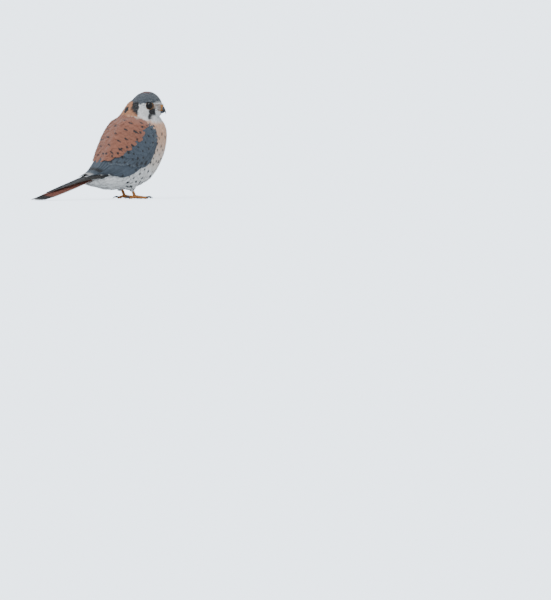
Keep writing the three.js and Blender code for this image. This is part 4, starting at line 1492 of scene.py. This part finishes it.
def stage():
    """A wide pale floor, an even pale world and soft light from above."""
    bm = bmesh.new()
    bmesh.ops.create_grid(bm, x_segments=1, y_segments=1, size=FLOOR["half"])
    floor = linked("floor", as_mesh(bm, "floor"))
    pale = bpy.data.materials.new("floor")
    pale.use_nodes = True
    shader = pale.node_tree.nodes["Principled BSDF"]
    shader.inputs["Base Color"].default_value = (*srgb(FLOOR["tint"]), 1)
    shader.inputs["Roughness"].default_value = 0.9
    brighten(pale, srgb(FLOOR["glow_tint"]), FLOOR["glow"])
    floor.data.materials.append(pale)
    floor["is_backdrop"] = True
    world = bpy.context.scene.world or bpy.data.worlds.new("world")
    bpy.context.scene.world = world
    world.use_nodes = True
    nodes, links = world.node_tree.nodes, world.node_tree.links
    sky = nodes["Background"]
    sky.inputs["Color"].default_value = (*srgb(SKY_TINT), 1)
    ray = nodes.new("ShaderNodeLightPath")
    seen = maths(nodes, links, "MULTIPLY_ADD", ray.outputs["Is Camera Ray"], SKY_SEEN - SKY_LIGHT, SKY_LIGHT)
    links.new(seen, sky.inputs["Strength"])
    for name, (strength, width, tilt, turn) in LAMPS.items():
        data = bpy.data.lights.new(name, "SUN")
        data.energy = strength
        data.angle = math.radians(width)
        linked(name, data).rotation_euler = (math.radians(tilt), 0, math.radians(turn))
    camera()


# Operators

class KESTREL_OT_skin(bpy.types.Operator):
    """Make the skin under the coat"""

    bl_idname = "kestrel.skin"
    bl_label = "Skin"

    def execute(self, context):
        make_skin(looks()["skin"])
        return {"FINISHED"}


class KESTREL_OT_coat(bpy.types.Operator):
    """Cover the skin with small feathers, from the face to the vent"""

    bl_idname = "kestrel.coat"
    bl_label = "Small feathers"

    def execute(self, context):
        skin, body_map = Skin(), BodyMap()
        ink, material = colours(), looks()["small feathers"]
        small_feathers(skin, body_map, Marks(skin, body_map), ink, material)
        dark, pale = ink["ink"] * 1.4, mix(ink["white"] * 0.7, ink["bare"], 0.35)
        lores("bristles", dark, material, count=46, nearest=12.0, farthest=16.2, half_width=0.13)
        lores("lore_feathers", pale, material, count=110, nearest=15.2, farthest=17.4, half_width=0.4)
        return {"FINISHED"}


class KESTREL_OT_wings(bpy.types.Operator):
    """Lay the long feathers of both folded wings"""

    bl_idname = "kestrel.wings"
    bl_label = "Wings"

    def execute(self, context):
        long_feathers(colours(), looks()["long feathers"], Marks(Skin(), BodyMap()))
        return {"FINISHED"}


class KESTREL_OT_tail(bpy.types.Operator):
    """Lay the twelve feathers of the tail"""

    bl_idname = "kestrel.tail"
    bl_label = "Tail"

    def execute(self, context):
        tail_feathers(colours(), looks()["long feathers"])
        return {"FINISHED"}


class KESTREL_OT_eyes(bpy.types.Operator):
    """Make both eyes and their rings of bare skin"""

    bl_idname = "kestrel.eyes"
    bl_label = "Eyes"

    def execute(self, context):
        for side in SIDES:
            eyeball(side, colours(), looks()["wet eye"])
            eye_ring(side, looks()["lid skin"])
        return {"FINISHED"}


class KESTREL_OT_bill(bpy.types.Operator):
    """Make both halves of the bill, the cere and the nostrils"""

    bl_idname = "kestrel.bill"
    bl_label = "Bill"

    def execute(self, context):
        bill(looks()["bare skin"], looks()["horn"], looks()["nostril"])
        shade_bill(colours())
        return {"FINISHED"}


class KESTREL_OT_legs(bpy.types.Operator):
    """Make the shanks, toes and claws"""

    bl_idname = "kestrel.legs"
    bl_label = "Legs"

    def execute(self, context):
        for side in SIDES:
            leg(side, looks()["scales"], looks()["claw horn"])
        return {"FINISHED"}


class KESTREL_OT_stage(bpy.types.Operator):
    """Set the floor, the light and the camera"""

    bl_idname = "kestrel.stage"
    bl_label = "Stage"

    def execute(self, context):
        stage()
        return {"FINISHED"}


OPERATORS = (
    KESTREL_OT_skin,
    KESTREL_OT_coat,
    KESTREL_OT_wings,
    KESTREL_OT_tail,
    KESTREL_OT_eyes,
    KESTREL_OT_bill,
    KESTREL_OT_legs,
    KESTREL_OT_stage,
)


class KESTREL_PT_panel(bpy.types.Panel):
    """The pieces of the kestrel, in the order they are made"""

    bl_idname = "KESTREL_PT_panel"
    bl_label = "Kestrel"
    bl_space_type = "VIEW_3D"
    bl_region_type = "UI"
    bl_category = "Kestrel"

    def draw(self, context):
        for operator in OPERATORS:
            self.layout.operator(operator.bl_idname)
        for group in (context.scene.kestrel_colours, context.scene.kestrel_sizes):
            for name in type(group).__annotations__:
                self.layout.prop(group, name)


CLASSES = (KestrelColours, KestrelSizes, *OPERATORS, KESTREL_PT_panel)


def register():
    for cls in CLASSES:
        bpy.utils.register_class(cls)
    bpy.types.Scene.kestrel_colours = bpy.props.PointerProperty(type=KestrelColours)
    bpy.types.Scene.kestrel_sizes = bpy.props.PointerProperty(type=KestrelSizes)


def unregister():
    del bpy.types.Scene.kestrel_colours
    del bpy.types.Scene.kestrel_sizes
    for cls in reversed(CLASSES):
        bpy.utils.unregister_class(cls)


def main():
    register()
    for operator in OPERATORS:
        getattr(bpy.ops.kestrel, operator.bl_idname.split(".")[1])()
    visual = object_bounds()
    plain = lambda box: [[float(value) for value in corner] for corner in box]
    {"cad": plain(CAD_BOX), "visual": plain(visual)}


if __name__ == "__main__":
    main()
